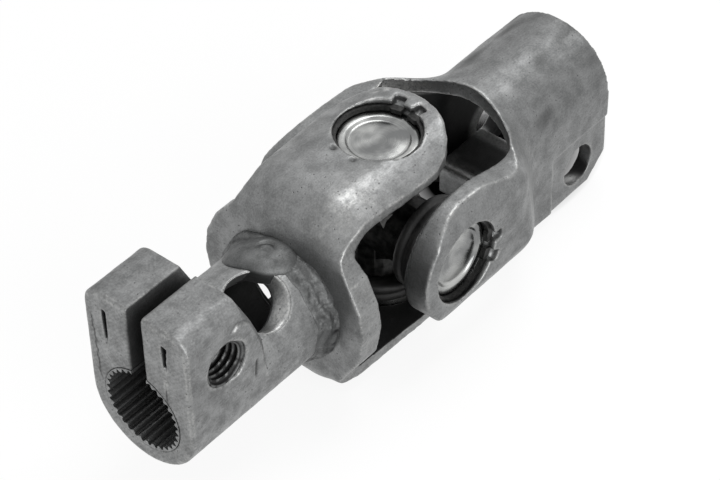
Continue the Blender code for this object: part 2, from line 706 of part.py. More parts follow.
def cross(pivot, paint):
    """A round body with four trunnions, each with a shoulder that carries a seal."""
    body = [(0.0, CROSS_BODY_HALF), (CROSS_BODY_RADIUS * 0.8, CROSS_BODY_HALF)]
    body += [(CROSS_BODY_RADIUS, CROSS_BODY_HALF * 0.6), (CROSS_BODY_RADIUS, -CROSS_BODY_HALF * 0.6)]
    body += [(CROSS_BODY_RADIUS * 0.8, -CROSS_BODY_HALF), (0.0, -CROSS_BODY_HALF)]
    spider = put(turned("cross", body, 24), PARTS, pivot, paint)
    spider.rotation_euler.y = math.pi / 2
    half = [
        (TRUNNION_RADIUS - TRUNNION_CHAMFER, TRUNNION_END),
        (TRUNNION_RADIUS, TRUNNION_END - TRUNNION_CHAMFER),
        (TRUNNION_RADIUS, SHOULDER_END),
        (SHOULDER_RADIUS, SHOULDER_END),
    ]
    whole = [(0.0, TRUNNION_END)] + half + [(radius, -height) for radius, height in reversed(half)]
    whole.append((0.0, -TRUNNION_END))
    for name in ("top", "near"):
        arm = turned("trunnions_" + name, whole, 24)
        arm.rotation_euler.x = TRUNNIONS[name]
        cut(spider, arm, "UNION")
    return spider


def bearing_cup(paint):
    """A drawn cup with a dished end and an open mouth."""
    radius = BORE_RADIUS - RUNNING_GAP
    inner = CUP_INNER
    profile = [
        (0.0, CUP_FACE - CUP_DISH),
        (CUP_LAND_INNER - CUP_DISH, CUP_FACE - CUP_DISH),
        (CUP_LAND_INNER, CUP_FACE),
        (CUP_LAND_OUTER, CUP_FACE),
        (radius, CUP_FACE - CUP_EDGE),
        (radius, CUP_MOUTH),
        (inner, CUP_MOUTH),
        (inner, CUP_FLOOR),
        (0.0, CUP_FLOOR),
    ]
    return turned("bearing_cup", profile), paint


def needle_set(paint):
    """A full ring of needle rollers side by side, as one scalloped ring."""
    space = CUP_INNER - TRUNNION_RADIUS
    needle = space / 2 - RUNNING_GAP
    pitch = TRUNNION_RADIUS + space / 2
    steps = 2
    outer = []
    inner = []
    for index in range(NEEDLE_COUNT):
        middle = 2 * math.pi * index / NEEDLE_COUNT
        for step in range(steps + 1):
            swing = (1 - 2 * step / steps) * NEEDLE_SPREAD
            for ring, away in ((outer, middle - swing), (inner, middle + math.pi + swing)):
                x = pitch * math.cos(middle) + needle * math.cos(away)
                y = pitch * math.sin(middle) + needle * math.sin(away)
                ring.append((x, y))
    top = CUP_FLOOR - SEAT_GAP
    low = CUP_MOUTH + SEAL_LIP + SEAT_GAP
    shape = bmesh.new()
    rings = []
    for level in (low, top):
        rings.append([
            [shape.verts.new((x, y, level)) for x, y in outer],
            [shape.verts.new((x, y, level)) for x, y in inner],
        ])
    count = len(outer)
    for index in range(count):
        after = (index + 1) % count
        for ring in (0, 1):
            low_ring, high_ring = rings[0][ring], rings[1][ring]
            shape.faces.new((low_ring[index], low_ring[after], high_ring[after], high_ring[index]))
        for level in (0, 1):
            wide, slim = rings[level]
            shape.faces.new((wide[index], wide[after], slim[after], slim[index]))
    return mesh_object("needle_set", shape), paint


def seal(paint):
    """A rubber ring on the trunnion, seated on the shoulder, with a lip inside the cup's mouth."""
    inner = TRUNNION_RADIUS + RUNNING_GAP
    low = SHOULDER_END + SEAT_GAP
    high = low + SEAL_THICKNESS
    lip = CUP_INNER - RUNNING_GAP
    tip = CUP_MOUTH + SEAL_LIP
    outer = BORE_RADIUS - RUNNING_GAP
    profile = [
        (inner, tip),
        (lip, tip),
        (lip, high),
        (outer, high),
        (outer, low),
        (inner, low),
    ]
    return turned("seal", profile, 24, closed=True), paint


def snap_ring(paint):
    """An open ring with a small lug at each end, seated in the ear's groove on the cup."""
    outer_radius = GROOVE_RADIUS - RUNNING_GAP
    half_gap = math.degrees(RING_GAP_ANGLE) / 2
    lug_end = half_gap + math.degrees(RING_LUG_ANGLE)
    outline = arc(0.0, 0.0, outer_radius, half_gap, 360.0 - half_gap, ROUND_STEPS)
    outline += arc(0.0, 0.0, RING_LUG_RADIUS, -half_gap, -lug_end, 2)
    outline += arc(0.0, 0.0, RING_INNER_RADIUS, -lug_end - 3.0, lug_end + 3.0 - 360.0, 36)
    outline += arc(0.0, 0.0, RING_LUG_RADIUS, lug_end - 360.0, half_gap - 360.0, 2)
    low = CUP_FACE + RUNNING_GAP
    ring = extruded("snap_ring", outline, low, low + RING_THICKNESS, "XY")
    return ring, paint


def copies(label, made, pivots):
    """Puts one piece at each trunnion, sharing its mesh."""
    first, paint = made
    first.data.materials.append(paint)
    for name, turn in TRUNNIONS.items():
        piece = first.copy()
        piece.name = "%s_%s" % (label, name)
        put(piece, PARTS, pivots[name])
        piece.rotation_euler.x = turn
        if label == "snap_ring":
            local = RING_TURN[name]
            piece.rotation_mode = "QUATERNION"
            tilt = Quaternion((1.0, 0.0, 0.0), turn)
            piece.rotation_quaternion = tilt @ Quaternion((0.0, 0.0, 1.0), local)
    bpy.data.objects.remove(first)


def pivot_empty(name, parent, location):
    """An empty that carries one moving body."""
    empty = bpy.data.objects.new(name, None)
    empty.empty_display_size = 0.01
    bpy.data.collections[PARTS].objects.link(empty)
    empty.parent = parent
    empty.location = location
    return empty


def main():
    """Builds the joint."""
    for thing in list(bpy.data.objects):
        bpy.data.objects.remove(thing)
    for name in (PARTS, CUTTERS):
        bpy.context.scene.collection.children.link(bpy.data.collections.new(name))

    phosphate = material("phosphated_steel", (0.30, 0.30, 0.29), 0.55, 0.75)
    blasted = material("blasted_steel", (0.42, 0.42, 0.41), 0.60, 0.70)
    weld = material("weld_metal", (0.33, 0.32, 0.30), 0.50, 0.75)
    ground = material("ground_steel", (0.70, 0.70, 0.68), 0.18, 1.0)
    spring = material("spring_steel", (0.22, 0.21, 0.20), 0.45, 0.85)
    rubber = material("black_rubber", (0.03, 0.03, 0.03), 0.70, 0.0)

    hub_side = pivot_empty("hub_side", None, JOINT_CENTRE)
    cross_pivot = pivot_empty("cross_pivot", hub_side, (0.0, 0.0, 0.0))
    channel_pivot = pivot_empty("channel_pivot", cross_pivot, (0.0, 0.0, 0.0))

    clamp_hub(hub_side, blasted)
    weld_bead(hub_side, weld)
    hub_yoke(hub_side, phosphate)
    channel_yoke(channel_pivot, phosphate)
    cross(cross_pivot, ground)
    carriers = {"top": hub_side, "bottom": hub_side, "near": channel_pivot, "far": channel_pivot}
    on_cross = {name: cross_pivot for name in TRUNNIONS}
    copies("bearing_cup", bearing_cup(ground), carriers)
    copies("needle_set", needle_set(ground), carriers)
    copies("snap_ring", snap_ring(spring), carriers)
    copies("seal", seal(rubber), on_cross)


if __name__ == "__main__":
    main()
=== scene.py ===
# %% [markdown]
# # The universal joint of a steering shaft
# A steering column turns a corner through this joint: a clamp yoke and a channel yoke hold
# one cross between them on four needle bearings. Both yokes are pressed from steel plate,
# the clamp hub is a rolled sleeve, and a weld joins it to its yoke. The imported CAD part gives
# every place and size in metres, so this script only has to give each piece its finish.

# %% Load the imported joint
import json
import math

import bmesh
import bpy
import numpy as np
from mathutils import Matrix, Vector, noise
from mathutils.kdtree import KDTree

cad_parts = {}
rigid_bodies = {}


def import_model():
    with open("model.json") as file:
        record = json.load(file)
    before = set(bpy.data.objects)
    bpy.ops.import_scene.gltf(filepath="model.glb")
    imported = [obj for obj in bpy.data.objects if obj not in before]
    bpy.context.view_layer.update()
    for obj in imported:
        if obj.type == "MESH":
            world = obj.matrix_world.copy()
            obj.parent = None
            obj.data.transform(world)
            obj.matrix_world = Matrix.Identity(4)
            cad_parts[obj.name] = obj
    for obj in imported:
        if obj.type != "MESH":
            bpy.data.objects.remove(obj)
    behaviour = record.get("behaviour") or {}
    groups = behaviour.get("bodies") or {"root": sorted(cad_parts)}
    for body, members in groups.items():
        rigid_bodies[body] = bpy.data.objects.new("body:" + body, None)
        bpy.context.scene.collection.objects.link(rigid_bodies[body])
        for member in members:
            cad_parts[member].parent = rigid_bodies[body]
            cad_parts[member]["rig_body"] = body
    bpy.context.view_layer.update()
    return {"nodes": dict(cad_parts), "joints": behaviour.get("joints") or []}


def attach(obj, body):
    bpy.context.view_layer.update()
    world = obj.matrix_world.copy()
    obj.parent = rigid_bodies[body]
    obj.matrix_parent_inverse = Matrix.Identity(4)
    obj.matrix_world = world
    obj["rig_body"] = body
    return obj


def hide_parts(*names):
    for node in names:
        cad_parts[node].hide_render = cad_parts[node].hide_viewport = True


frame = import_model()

MM = 0.001
nodes = frame["nodes"]

# %% [markdown]
# ## The viewpoint
# The joint is seen from its clamp end, from above and from the near side, through a long
# lens that keeps both yokes in proportion. The camera's matrix is built from a compass
# direction, a height and a small roll, because these three say in words where it stands.

# %% Camera
joint_centre = Vector(frame["joints"][0]["pos_m"])
IMAGE_WIDTH, IMAGE_HEIGHT = 720, 480
SENSOR = 36.0
LENS_PIXELS = 2599.3
CENTRE_PIXEL = (379.66, 213.89)
DISTANCE = 460.99 * MM
azimuth, elevation, roll = (math.radians(angle) for angle in (-48.891, 43.432, -1.461))

back = Vector((
    math.sin(azimuth) * math.cos(elevation),
    -math.cos(azimuth) * math.cos(elevation),
    math.sin(elevation),
))
level = Vector((0.0, 0.0, 1.0)).cross(back).normalized()
upright = back.cross(level)
right = level * math.cos(roll) + upright * math.sin(roll)
up = upright * math.cos(roll) - level * math.sin(roll)
aim_right = (CENTRE_PIXEL[0] - IMAGE_WIDTH / 2) / LENS_PIXELS * DISTANCE
aim_up = (IMAGE_HEIGHT / 2 - CENTRE_PIXEL[1]) / LENS_PIXELS * DISTANCE

camera_data = bpy.data.cameras.new("camera")
camera_data.sensor_width = SENSOR
camera_data.lens = LENS_PIXELS * SENSOR / IMAGE_WIDTH
camera_data.clip_start = 0.01
camera = bpy.data.objects.new("camera", camera_data)
bpy.context.scene.collection.objects.link(camera)
turn = Matrix((right, up, back)).transposed().to_4x4()
place = joint_centre + back * DISTANCE - right * aim_right - up * aim_up
camera.matrix_world = Matrix.Translation(place) @ turn
bpy.context.scene.camera = camera
bpy.context.scene.view_settings.view_transform = "Standard"
print("lens:", round(camera_data.lens, 1), "mm")

# %% [markdown]
# ## One helper for nodes, one for colours
# Every finish below is procedural, so each one is a small tree of shader nodes. One function
# adds a node, sets its settings and joins its inputs. Colours are written as sRGB hex values,
# as a paint chart gives them, and one function turns them to the linear light Blender mixes.


# %% Helpers for materials
def to_linear(colour):
    """The linear RGBA of an sRGB hex colour."""
    channels = [int(colour[index:index + 2], 16) / 255 for index in (1, 3, 5)]
    linear = [c / 12.92 if c <= 0.04045 else ((c + 0.055) / 1.055) ** 2.4 for c in channels]
    return (*linear, 1.0)


def add_node(tree, kind, inputs=None, **settings):
    """Adds a shader node; an input is a number, a colour or another node's output."""
    made = tree.nodes.new("ShaderNode" + kind)
    for name, value in settings.items():
        setattr(made, name, value)
    for name, value in (inputs or {}).items():
        socket = made.inputs[name]
        if isinstance(value, bpy.types.NodeSocket):
            tree.links.new(value, socket)
        else:
            socket.default_value = value
    return made


def new_material(name):
    """An empty material and its node tree."""
    made = bpy.data.materials.new(name)
    made.use_nodes = True
    made.node_tree.nodes.clear()
    return made, made.node_tree


def texture_noise(tree, place, size_mm, detail=4.0, roughness=0.6):
    """Noise with bumps of a size given in millimetres, from 0 to 1."""
    return add_node(tree, "TexNoise", {
        "Vector": place, "Scale": 1 / (size_mm * MM), "Detail": detail,
        "Roughness": roughness}).outputs["Fac"]


def ranged(tree, value, low, high, start=0.0, end=1.0):
    """A value brought from one range to another and held inside it."""
    return add_node(tree, "MapRange", {
        "Value": value, "From Min": low, "From Max": high, "To Min": start,
        "To Max": end}).outputs["Result"]


def calculated(tree, operation, first, second, third=0.0):
    """One step of arithmetic."""
    return add_node(tree, "Math", {0: first, 1: second, 2: third},
                    operation=operation).outputs[0]


def mixed_colour(tree, share, first, second):
    """A colour between two, by a share."""
    return add_node(tree, "Mix", {0: share, 6: first, 7: second},
                    data_type="RGBA").outputs[2]


def mixed_value(tree, share, first, second):
    """A value between two, by a share."""
    return add_node(tree, "Mix", {0: share, 2: first, 3: second},
                    data_type="FLOAT").outputs[0]


def painted(tree, name):
    """A value that was painted on the mesh's points."""
    return add_node(tree, "Attribute", attribute_name=name).outputs["Fac"]


def object_place(tree):
    """Where the shaded point lies on its object, in metres."""
    return add_node(tree, "TexCoord").outputs["Object"]


def open_sky(tree, reach, samples):
    """1 where nothing lies within a reach, less in a hollow."""
    return add_node(tree, "AmbientOcclusion", {"Distance": reach}, samples=samples).outputs["AO"]


def coat(tree, colour, metallic, roughness, height, strength, depth_mm):
    """Ends a material's tree with one coat that has a fine relief."""
    bump = add_node(tree, "Bump", {
        "Height": height, "Strength": strength, "Distance": depth_mm * MM})
    shader = add_node(tree, "BsdfPrincipled", {
        "Base Color": colour, "Metallic": metallic, "Roughness": roughness,
        "Normal": bump.outputs["Normal"]})
    add_node(tree, "OutputMaterial", {"Surface": shader.outputs["BSDF"]})


print("mid grey, linear:", round(to_linear("#808080")[0], 3))

# %% [markdown]
# ## The stage
# A plain white world, and under the lower ear a plain white floor. Both look white to the
# camera and in reflections whatever the lamps do, because a light path node tells a ray that
# shows the background from a ray that lights the joint.


# %% World
def background_share(tree):
    """1 for rays that show the background: camera, glossy and transmission rays."""
    path = add_node(tree, "LightPath")
    direct = calculated(tree, "MAXIMUM", path.outputs["Is Camera Ray"], path.outputs["Is Glossy Ray"])
    return calculated(tree, "MAXIMUM", direct, path.outputs["Is Transmission Ray"])


WHITE = to_linear("#ffffff")
AMBIENT = 0.42
world = bpy.data.worlds.new("studio")
bpy.context.scene.world = world
world.use_nodes = True
world_tree = world.node_tree
world_tree.nodes.clear()
soft_light = add_node(world_tree, "Background", {"Color": WHITE, "Strength": AMBIENT})
white_view = add_node(world_tree, "Background", {"Color": WHITE, "Strength": 1.0})
world_mix = add_node(world_tree, "MixShader", {
    0: background_share(world_tree), 1: soft_light.outputs[0], 2: white_view.outputs[0]})
add_node(world_tree, "OutputWorld", {"Surface": world_mix.outputs[0]})
print("ambient light:", AMBIENT)

# %% [markdown]
# ## The floor
# To the light the floor is a matt grey, and to the camera a darker grey that glows to white, so
# that a shadow still shows on it. Below the channel yoke a painted shadow makes the floor nearly
# black: an oval says where, and how open the sky is says how much.

# %% Floor
FLOOR_REACH = 3.0
FLOOR_DROP = 0.08 * MM
FLOOR_GLOW = 0.88
SHADE_CENTRE = [value * MM for value in (47.0, 7.0, 0.0)]
SHADE_REACH = [value * MM for value in (26.0, 19.0, 100.0)]
SHADE_EDGE = 0.60
SKY_REACH = 45.0 * MM
SKY_SHUT, SKY_OPEN = 0.74, 0.99
floor_mesh = bpy.data.meshes.new("floor")
floor_shape = bmesh.new()
bmesh.ops.create_grid(floor_shape, x_segments=1, y_segments=1, size=FLOOR_REACH)
floor_shape.to_mesh(floor_mesh)
floor_shape.free()
floor = bpy.data.objects.new("floor", floor_mesh)
bpy.context.scene.collection.objects.link(floor)
floor.location.z = -FLOOR_DROP
floor_paint, floor_tree = new_material("matt_white_floor")
floor_matt = add_node(floor_tree, "BsdfDiffuse", {"Color": to_linear("#8c8c8c")})
floor_place = add_node(floor_tree, "Mapping", {
    "Vector": object_place(floor_tree), "Location": SHADE_CENTRE,
    "Scale": SHADE_REACH}, vector_type="TEXTURE").outputs[0]
from_middle = add_node(floor_tree, "VectorMath", {0: floor_place},
                       operation="LENGTH").outputs["Value"]
shade = ranged(floor_tree, from_middle, SHADE_EDGE, 1.0, 1.0, 0.0)
closed_in = ranged(floor_tree, open_sky(floor_tree, SKY_REACH, 16), SKY_SHUT, SKY_OPEN, 1.0, 0.0)
# Painted shadow: the oval times how closed the sky is darkens the floor and dims its glow.
painted_floor_shadow = calculated(floor_tree, "MULTIPLY", shade, closed_in)
floor_grey = add_node(floor_tree, "BsdfDiffuse", {
    "Color": mixed_colour(floor_tree, painted_floor_shadow, to_linear("#6a6a6a"), to_linear("#0c0c0c"))})
floor_glow = add_node(floor_tree, "Emission", {
    "Color": WHITE, "Strength": ranged(floor_tree, painted_floor_shadow, 0.0, 1.0, FLOOR_GLOW, 0.0)})
floor_sum = add_node(floor_tree, "AddShader",
                     {0: floor_grey.outputs[0], 1: floor_glow.outputs[0]})
floor_mix = add_node(floor_tree, "MixShader", {
    0: background_share(floor_tree), 1: floor_matt.outputs[0], 2: floor_sum.outputs[0]})
add_node(floor_tree, "OutputMaterial", {"Surface": floor_mix.outputs[0]})
floor_mesh.materials.append(floor_paint)
print("floor at z", floor.location.z)

# %% [markdown]
# ## Lamps
# A product photograph of steel is lit by broad soft boxes, because small lamps leave hard
# spots on metal. One box hangs above and behind, a second stands on the near side.


# %% Soft boxes
def soft_box(name, direction, distance, size, power):
    """A square area lamp that looks at the joint."""
    lamp = bpy.data.lights.new(name, "AREA")
    lamp.size = size
    lamp.energy = power
    box = bpy.data.objects.new(name, lamp)
    bpy.context.scene.collection.objects.link(box)
    box.location = joint_centre + Vector(direction).normalized() * distance
    box.rotation_euler = (joint_centre - box.location).to_track_quat("-Z", "Y").to_euler()


soft_box("key_box", direction=(0.5, 0.05, 1.2), distance=0.6, size=0.35, power=1.5)
soft_box("near_box", direction=(-0.5, -1.5, 0.6), distance=0.7, size=0.5, power=2.6)
print("lamps:", [light.name for light in bpy.data.lights])

# %% [markdown]
# ## Steel as it comes from the press
# The yokes and the sleeve are mild steel with a thin dull coat. Four things show on it: cloudy
# patches a few millimetres wide, fine grain, small dark pits, and edges rubbed bright. The
# hollows are darkened nearly to black as painted shade, by how open the sky is over each point.
# All four are one shader that reads four values painted on the points: wear with painted
# highlights, dirt with painted shade, where that shade is lifted, and saw strokes.


# %% Steel
BARE_METAL_AND_HIGHLIGHT = to_linear("#c6c6c4")
SAWN_METAL = to_linear("#d0d0ce")
DIRT_AND_SHADE_BLACK = to_linear("#1d1d1d")
OILY_ROUGHNESS = 0.62
PIT_SPACING = 1.1 * MM
STROKE_SPACING = 0.5 * MM
WAVE_LENGTH = 0.314  # metres between the bands of a wave texture whose scale is 1


def steel(name, dark, light, cloud_mm, grain_mm, rough, bump_mm, metallic, sawn=False):
    """Dull steel with clouds, grain, pits, rubbed edges, painted highlights and hollows in painted
    shade.
    """
    paint, tree = new_material(name)
    place = object_place(tree)
    cloud = texture_noise(tree, place, cloud_mm, 5.0, 0.55)
    grain = texture_noise(tree, place, grain_mm, 3.0, 0.6)
    both = calculated(tree, "MULTIPLY_ADD", grain, 0.7, cloud)
    drawn = add_node(tree, "VectorMath", {0: place, 1: (0.14, 1.0, 1.0)},
                     operation="MULTIPLY").outputs[0]
    streaks = texture_noise(tree, drawn, 0.24, 3.0, 0.65)
    both = calculated(tree, "MULTIPLY_ADD", streaks, 0.35, both)
    tone = ranged(tree, both, 0.82, 1.22)
    colour = mixed_colour(tree, tone, to_linear(dark), to_linear(light))

    spots = add_node(tree, "TexVoronoi", {
        "Vector": place, "Scale": 1 / PIT_SPACING}).outputs["Distance"]
    pits = calculated(tree, "MULTIPLY", ranged(tree, spots, 0.07, 0.17, 1.0, 0.0),
                      ranged(tree, cloud, 0.42, 0.58))

    # Worn edges and painted highlights both lighten the colour towards bare metal.
    wear_and_highlight = calculated(tree, "MULTIPLY", painted(tree, "wear_and_highlight"),
                        ranged(tree, texture_noise(tree, place, 0.6, 5.0, 0.75), 0.36, 0.60))
    colour = mixed_colour(tree, calculated(tree, "MULTIPLY", wear_and_highlight, 0.8), colour, BARE_METAL_AND_HIGHLIGHT)

    # Painted shade: where little sky is open the colour goes towards black, less where the shade is
    # lifted.
    hollow_shade = ranged(tree, open_sky(tree, 5.0 * MM, 8), 0.10, 0.52, 0.92, 0.0)
    hollow_shade = calculated(tree, "SUBTRACT", hollow_shade, painted(tree, "shade_lifted"))
    dirt_and_shade = calculated(tree, "MAXIMUM", hollow_shade, painted(tree, "dirt_and_shade"))
    dirt_and_shade = calculated(tree, "MAXIMUM", dirt_and_shade, calculated(tree, "MULTIPLY", pits, 0.7))
    colour = mixed_colour(tree, dirt_and_shade, colour, DIRT_AND_SHADE_BLACK)

    finish = mixed_value(tree, tone, rough + 0.07, rough - 0.07)
    finish = mixed_value(tree, wear_and_highlight, finish, rough - 0.14)
    finish = mixed_value(tree, dirt_and_shade, finish, OILY_ROUGHNESS)
    relief = calculated(tree, "MULTIPLY_ADD", pits, -1.6, both)
    if sawn:
        strokes = add_node(tree, "TexWave", {
            "Vector": place, "Scale": WAVE_LENGTH / STROKE_SPACING, "Distortion": 3.0,
            "Detail": 2.0, "Detail Scale": 0.9},
            wave_type="BANDS", bands_direction="DIAGONAL").outputs["Fac"]
        cut = calculated(tree, "MULTIPLY", strokes, painted(tree, "sawn"))
        relief = calculated(tree, "MULTIPLY_ADD", cut, 0.35, relief)
        colour = mixed_colour(tree, calculated(tree, "MULTIPLY", cut, 0.07), colour, SAWN_METAL)
    coat(tree, colour, metallic, finish, relief, 0.55, bump_mm)
    return paint


pressed_steel = steel("pressed_mild_steel", "#6c6d6d", "#888989", cloud_mm=3.2, grain_mm=0.36,
                      rough=0.44, bump_mm=0.06, metallic=0.88)
rolled_steel = steel("rolled_mild_steel", "#717272", "#929393", cloud_mm=2.4, grain_mm=0.38,
                     rough=0.47, bump_mm=0.07, metallic=0.86, sawn=True)
weld_steel = steel("weld_metal_with_scale", "#535454", "#696a6a", cloud_mm=2.2, grain_mm=0.24,
                   rough=0.56, bump_mm=0.04, metallic=0.82)
print("steels:", [paint.name for paint in bpy.data.materials if "steel" in paint.name])

# %% [markdown]
# ## Finishes for turned, ground and moulded pieces
# A bearing cup is drawn and then ground, so fine rings run round its axis. The snap rings are
# blackened spring steel, the cross is case hardened and ground, and the seals are nitrile
# rubber with a little bloom.

# %% Ground steel, spring steel and rubber
RING_SPACING = 0.16 * MM
ground_steel, ground_tree = new_material("ground_bearing_steel")
ring_place = add_node(ground_tree, "CombineXYZ",
                      {"X": painted(ground_tree, "turning")}).outputs[0]
ring_lines = add_node(ground_tree, "TexNoise", {
    "Vector": ring_place, "Scale": 1 / RING_SPACING, "Detail": 3.0, "Roughness": 0.7}).outputs["Fac"]
film = texture_noise(ground_tree, object_place(ground_tree), 5.0, 2.0, 0.45)
ground_tone = calculated(ground_tree, "MULTIPLY_ADD", ring_lines, 0.35, film)
ground_colour = mixed_colour(ground_tree, ranged(ground_tree, ground_tone, 0.52, 0.86),
                             to_linear("#777878"), to_linear("#bcbdbb"))
# Painted shade: hollows and the painted dark value turn the cup's colour towards black.
ground_hollow_shade = ranged(ground_tree, open_sky(ground_tree, 3.0 * MM, 8), 0.12, 0.50, 0.9, 0.0)
ground_dirt_and_shade = calculated(ground_tree, "MAXIMUM", painted(ground_tree, "dirt_and_shade"), ground_hollow_shade)
ground_colour = mixed_colour(ground_tree, ground_dirt_and_shade, ground_colour, to_linear("#202020"))
ground_finish = ranged(ground_tree, film, 0.35, 0.65, 0.17, 0.34)
coat(ground_tree, ground_colour, 1.0, ground_finish, ground_tone, 0.4, 0.012)


def dull_finish(name, dark, light, grain_mm, metallic, rough):
    """A dark even finish with fine grain."""
    paint, tree = new_material(name)
    place = object_place(tree)
    grain = texture_noise(tree, place, grain_mm)
    colour = mixed_colour(tree, ranged(tree, grain, 0.35, 0.65), to_linear(dark), to_linear(light))
    finish = ranged(tree, grain, 0.3, 0.7, rough - 0.08, rough + 0.08)
    coat(tree, colour, metallic, finish, grain, 0.5, 0.03)
    return paint


spring_steel = dull_finish("blackened_spring_steel", "#1f1f1f", "#3a3a39",
                           grain_mm=0.5, metallic=0.7, rough=0.42)
cross_steel = dull_finish("case_hardened_cross_steel", "#262626", "#474746",
                          grain_mm=1.2, metallic=0.9, rough=0.38)
rubber = dull_finish("moulded_nitrile_rubber", "#111111", "#242423",
                     grain_mm=0.8, metallic=0.0, rough=0.55)
print("finishes:", ground_steel.name, spring_steel.name, cross_steel.name, rubber.name)

# %% [markdown]
# ## Working on meshes in millimetres
# Relief such as ripples, dents and a crater is easier to think about in millimetres from the
# joint's centre, so the points of a mesh are read that way, moved, and written back.


# %% Mesh helpers
CENTRE = np.array(joint_centre)


def read_points(mesh):
    """The mesh's points in millimetres from the joint's centre."""
    flat = np.empty(len(mesh.vertices) * 3)
    mesh.vertices.foreach_get("co", flat)
    return (flat.reshape(-1, 3) - CENTRE) / MM


def write_points(mesh, points):
    """Puts points in millimetres back on the mesh."""
    mesh.vertices.foreach_set("co", (points * MM + CENTRE).ravel())
    mesh.update()


def read_normals(mesh):
    """The outward direction at every point of the mesh."""
    flat = np.empty(len(mesh.vertices) * 3)
    mesh.vertices.foreach_get("normal", flat)
    return flat.reshape(-1, 3)


def paint_points(mesh, name, values):
    """Stores one value from 0 to 1 for every point, for a shader to read."""
    layer = mesh.attributes.new(name, "FLOAT", "POINT")
    layer.data.foreach_set("value", np.clip(values, 0, 1).astype(np.float32))


def unevenness(points, size_mm, seed):
    """Smooth noise between -1 and 1 with bumps of about the given size."""
    shift = Vector((seed * 7.3, seed * 3.1, seed * 5.7))
    return np.array([noise.noise(Vector(point) / size_mm + shift) for point in points])


def ramp(values, low, high):
    """Rises from 0 at low to 1 at high with level ends."""
    share = np.clip((values - low) / (high - low), 0.0, 1.0)
    return share * share * (3 - 2 * share)


def spot(points, centre, radius):
    """1 at a centre, fading to 0 outside a radius."""
    distance = np.linalg.norm(points - np.array(centre), axis=1)
    return np.exp(-(distance / radius) ** 2)


print("joint centre:", [round(value, 2) for value in CENTRE / MM], "mm")

# %% [markdown]
# ## Making pieces and tools
# A drawn piece is a row of rings with a band of faces between each two. It rides on the body
# of the imported node it stands for, and that node is hidden. A cutting tool is an object too,
# but only until it has cut.


# %% Pieces and tools
def bridge(shape, rings, closed=True):
    """Faces from each ring of points to the next, and round again; one point makes a tip."""
    following = rings[1:] + rings[:1] if closed else rings[1:]
    for first, second in zip(rings, following):
        count = max(len(first), len(second))
        for step in range(count):
            after = (step + 1) % count
            corners = [first[step % len(first)], first[after % len(first)],
                       second[after % len(second)], second[step % len(second)]]
            shape.faces.new(list(dict.fromkeys(corners)))


def new_object(name, shape, place):
    """An object of a bmesh, with its points put in place by a matrix."""
    mesh = bpy.data.meshes.new(name)
    shape.to_mesh(mesh)
    shape.free()
    mesh.transform(place)
    made = bpy.data.objects.new(name, mesh)
    bpy.context.scene.collection.objects.link(made)
    return made


def dress(piece, paint, node):
    """Paints a piece; it rides on the body of the node that it stands for."""
    piece.data.materials.clear()
    piece.data.materials.append(paint)
    piece.data.shade_smooth()
    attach(piece, nodes[node]["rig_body"])
    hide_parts(node)


def new_piece(name, shape, paint, node):
    """Makes a visible piece of a bmesh in millimetres from the joint's centre."""
    bmesh.ops.recalc_face_normals(shape, faces=shape.faces)
    piece = new_object(name, shape, Matrix.Translation(joint_centre) @ Matrix.Scale(MM, 4))
    dress(piece, paint, node)
    return piece


def plug(name, radius, start, end):
    """A round cutting tool between two points in millimetres from the joint's centre."""
    first, last = Vector(start) * MM + joint_centre, Vector(end) * MM + joint_centre
    shape = bmesh.new()
    bmesh.ops.create_cone(shape, cap_ends=True, segments=96, radius1=radius * MM,
                          radius2=radius * MM, depth=(last - first).length)
    turn = (last - first).to_track_quat("Z", "Y").to_matrix().to_4x4()
    return new_object(name, shape, Matrix.Translation((first + last) / 2) @ turn)


def cut_by(piece, tool):
    """Lets a tool cut a piece when its modifiers are applied."""
    cut = piece.modifiers.new(tool.name, "BOOLEAN")
    cut.object = tool
    cut.solver = "EXACT"


def applied(piece):
    """The piece's mesh with its modifiers worked in."""
    bpy.context.view_layer.update()
    evaluated = piece.evaluated_get(bpy.context.evaluated_depsgraph_get())
    mesh = bpy.data.meshes.new_from_object(evaluated)
    piece.modifiers.clear()
    piece.data = mesh
    return mesh


# %% [markdown]
# ## Where edges wear
# A sharp outer edge is what a hand, a tumbler or another part touches first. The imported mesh
# says where such edges are, so points laid along them give every point of the worn skin its
# distance to the nearest one. A wandering noise breaks the line up, as real wear does.


# %% Edge wear
SAME_POINT = 0.001 * MM
SHARP_BEND = 0.45
MARK_STEP = 0.3
WEAR_LIMIT = 3.0


def distance_to(marks, points, limit):
    """Distance in millimetres from each point to the nearest mark, no more than a limit."""
    tree = KDTree(len(marks))
    for index, mark in enumerate(marks):
        tree.insert(mark, index)
    tree.balance()
    return np.array([min(tree.find(point)[2], limit) for point in points])


def edge_marks(node, inner_too=False):
    """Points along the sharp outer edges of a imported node, or along its inner ones too."""
    shape = bmesh.new()
    shape.from_mesh(nodes[node].data)
    bmesh.ops.remove_doubles(shape, verts=shape.verts, dist=SAME_POINT)
    marks = []
    for edge in shape.edges:
        bend = edge.calc_face_angle_signed(0.0) if len(edge.link_faces) == 2 else 0.0
        if bend > SHARP_BEND or (inner_too and bend < -SHARP_BEND):
            first, last = ((vert.co - joint_centre) / MM for vert in edge.verts)
            count = max(int((last - first).length / MARK_STEP), 1)
            marks += [first.lerp(last, index / count) for index in range(count + 1)]
    shape.free()
    return marks


def edge_wear(node, points, width_mm, seed):
    """1 on a worn outer edge, fading over a width, in broken lines."""
    away = distance_to(edge_marks(node), points, WEAR_LIMIT)
    wander = unevenness(points, 1.7, seed) + 0.4 * unevenness(points, 0.6, seed + 1)
    return np.exp(-(away / width_mm) ** 2) * (0.25 + 0.75 * ramp(wander, -0.35, 0.25))


print("marks on the clamp hub's worn edges:", len(edge_marks("clamp_hub")))

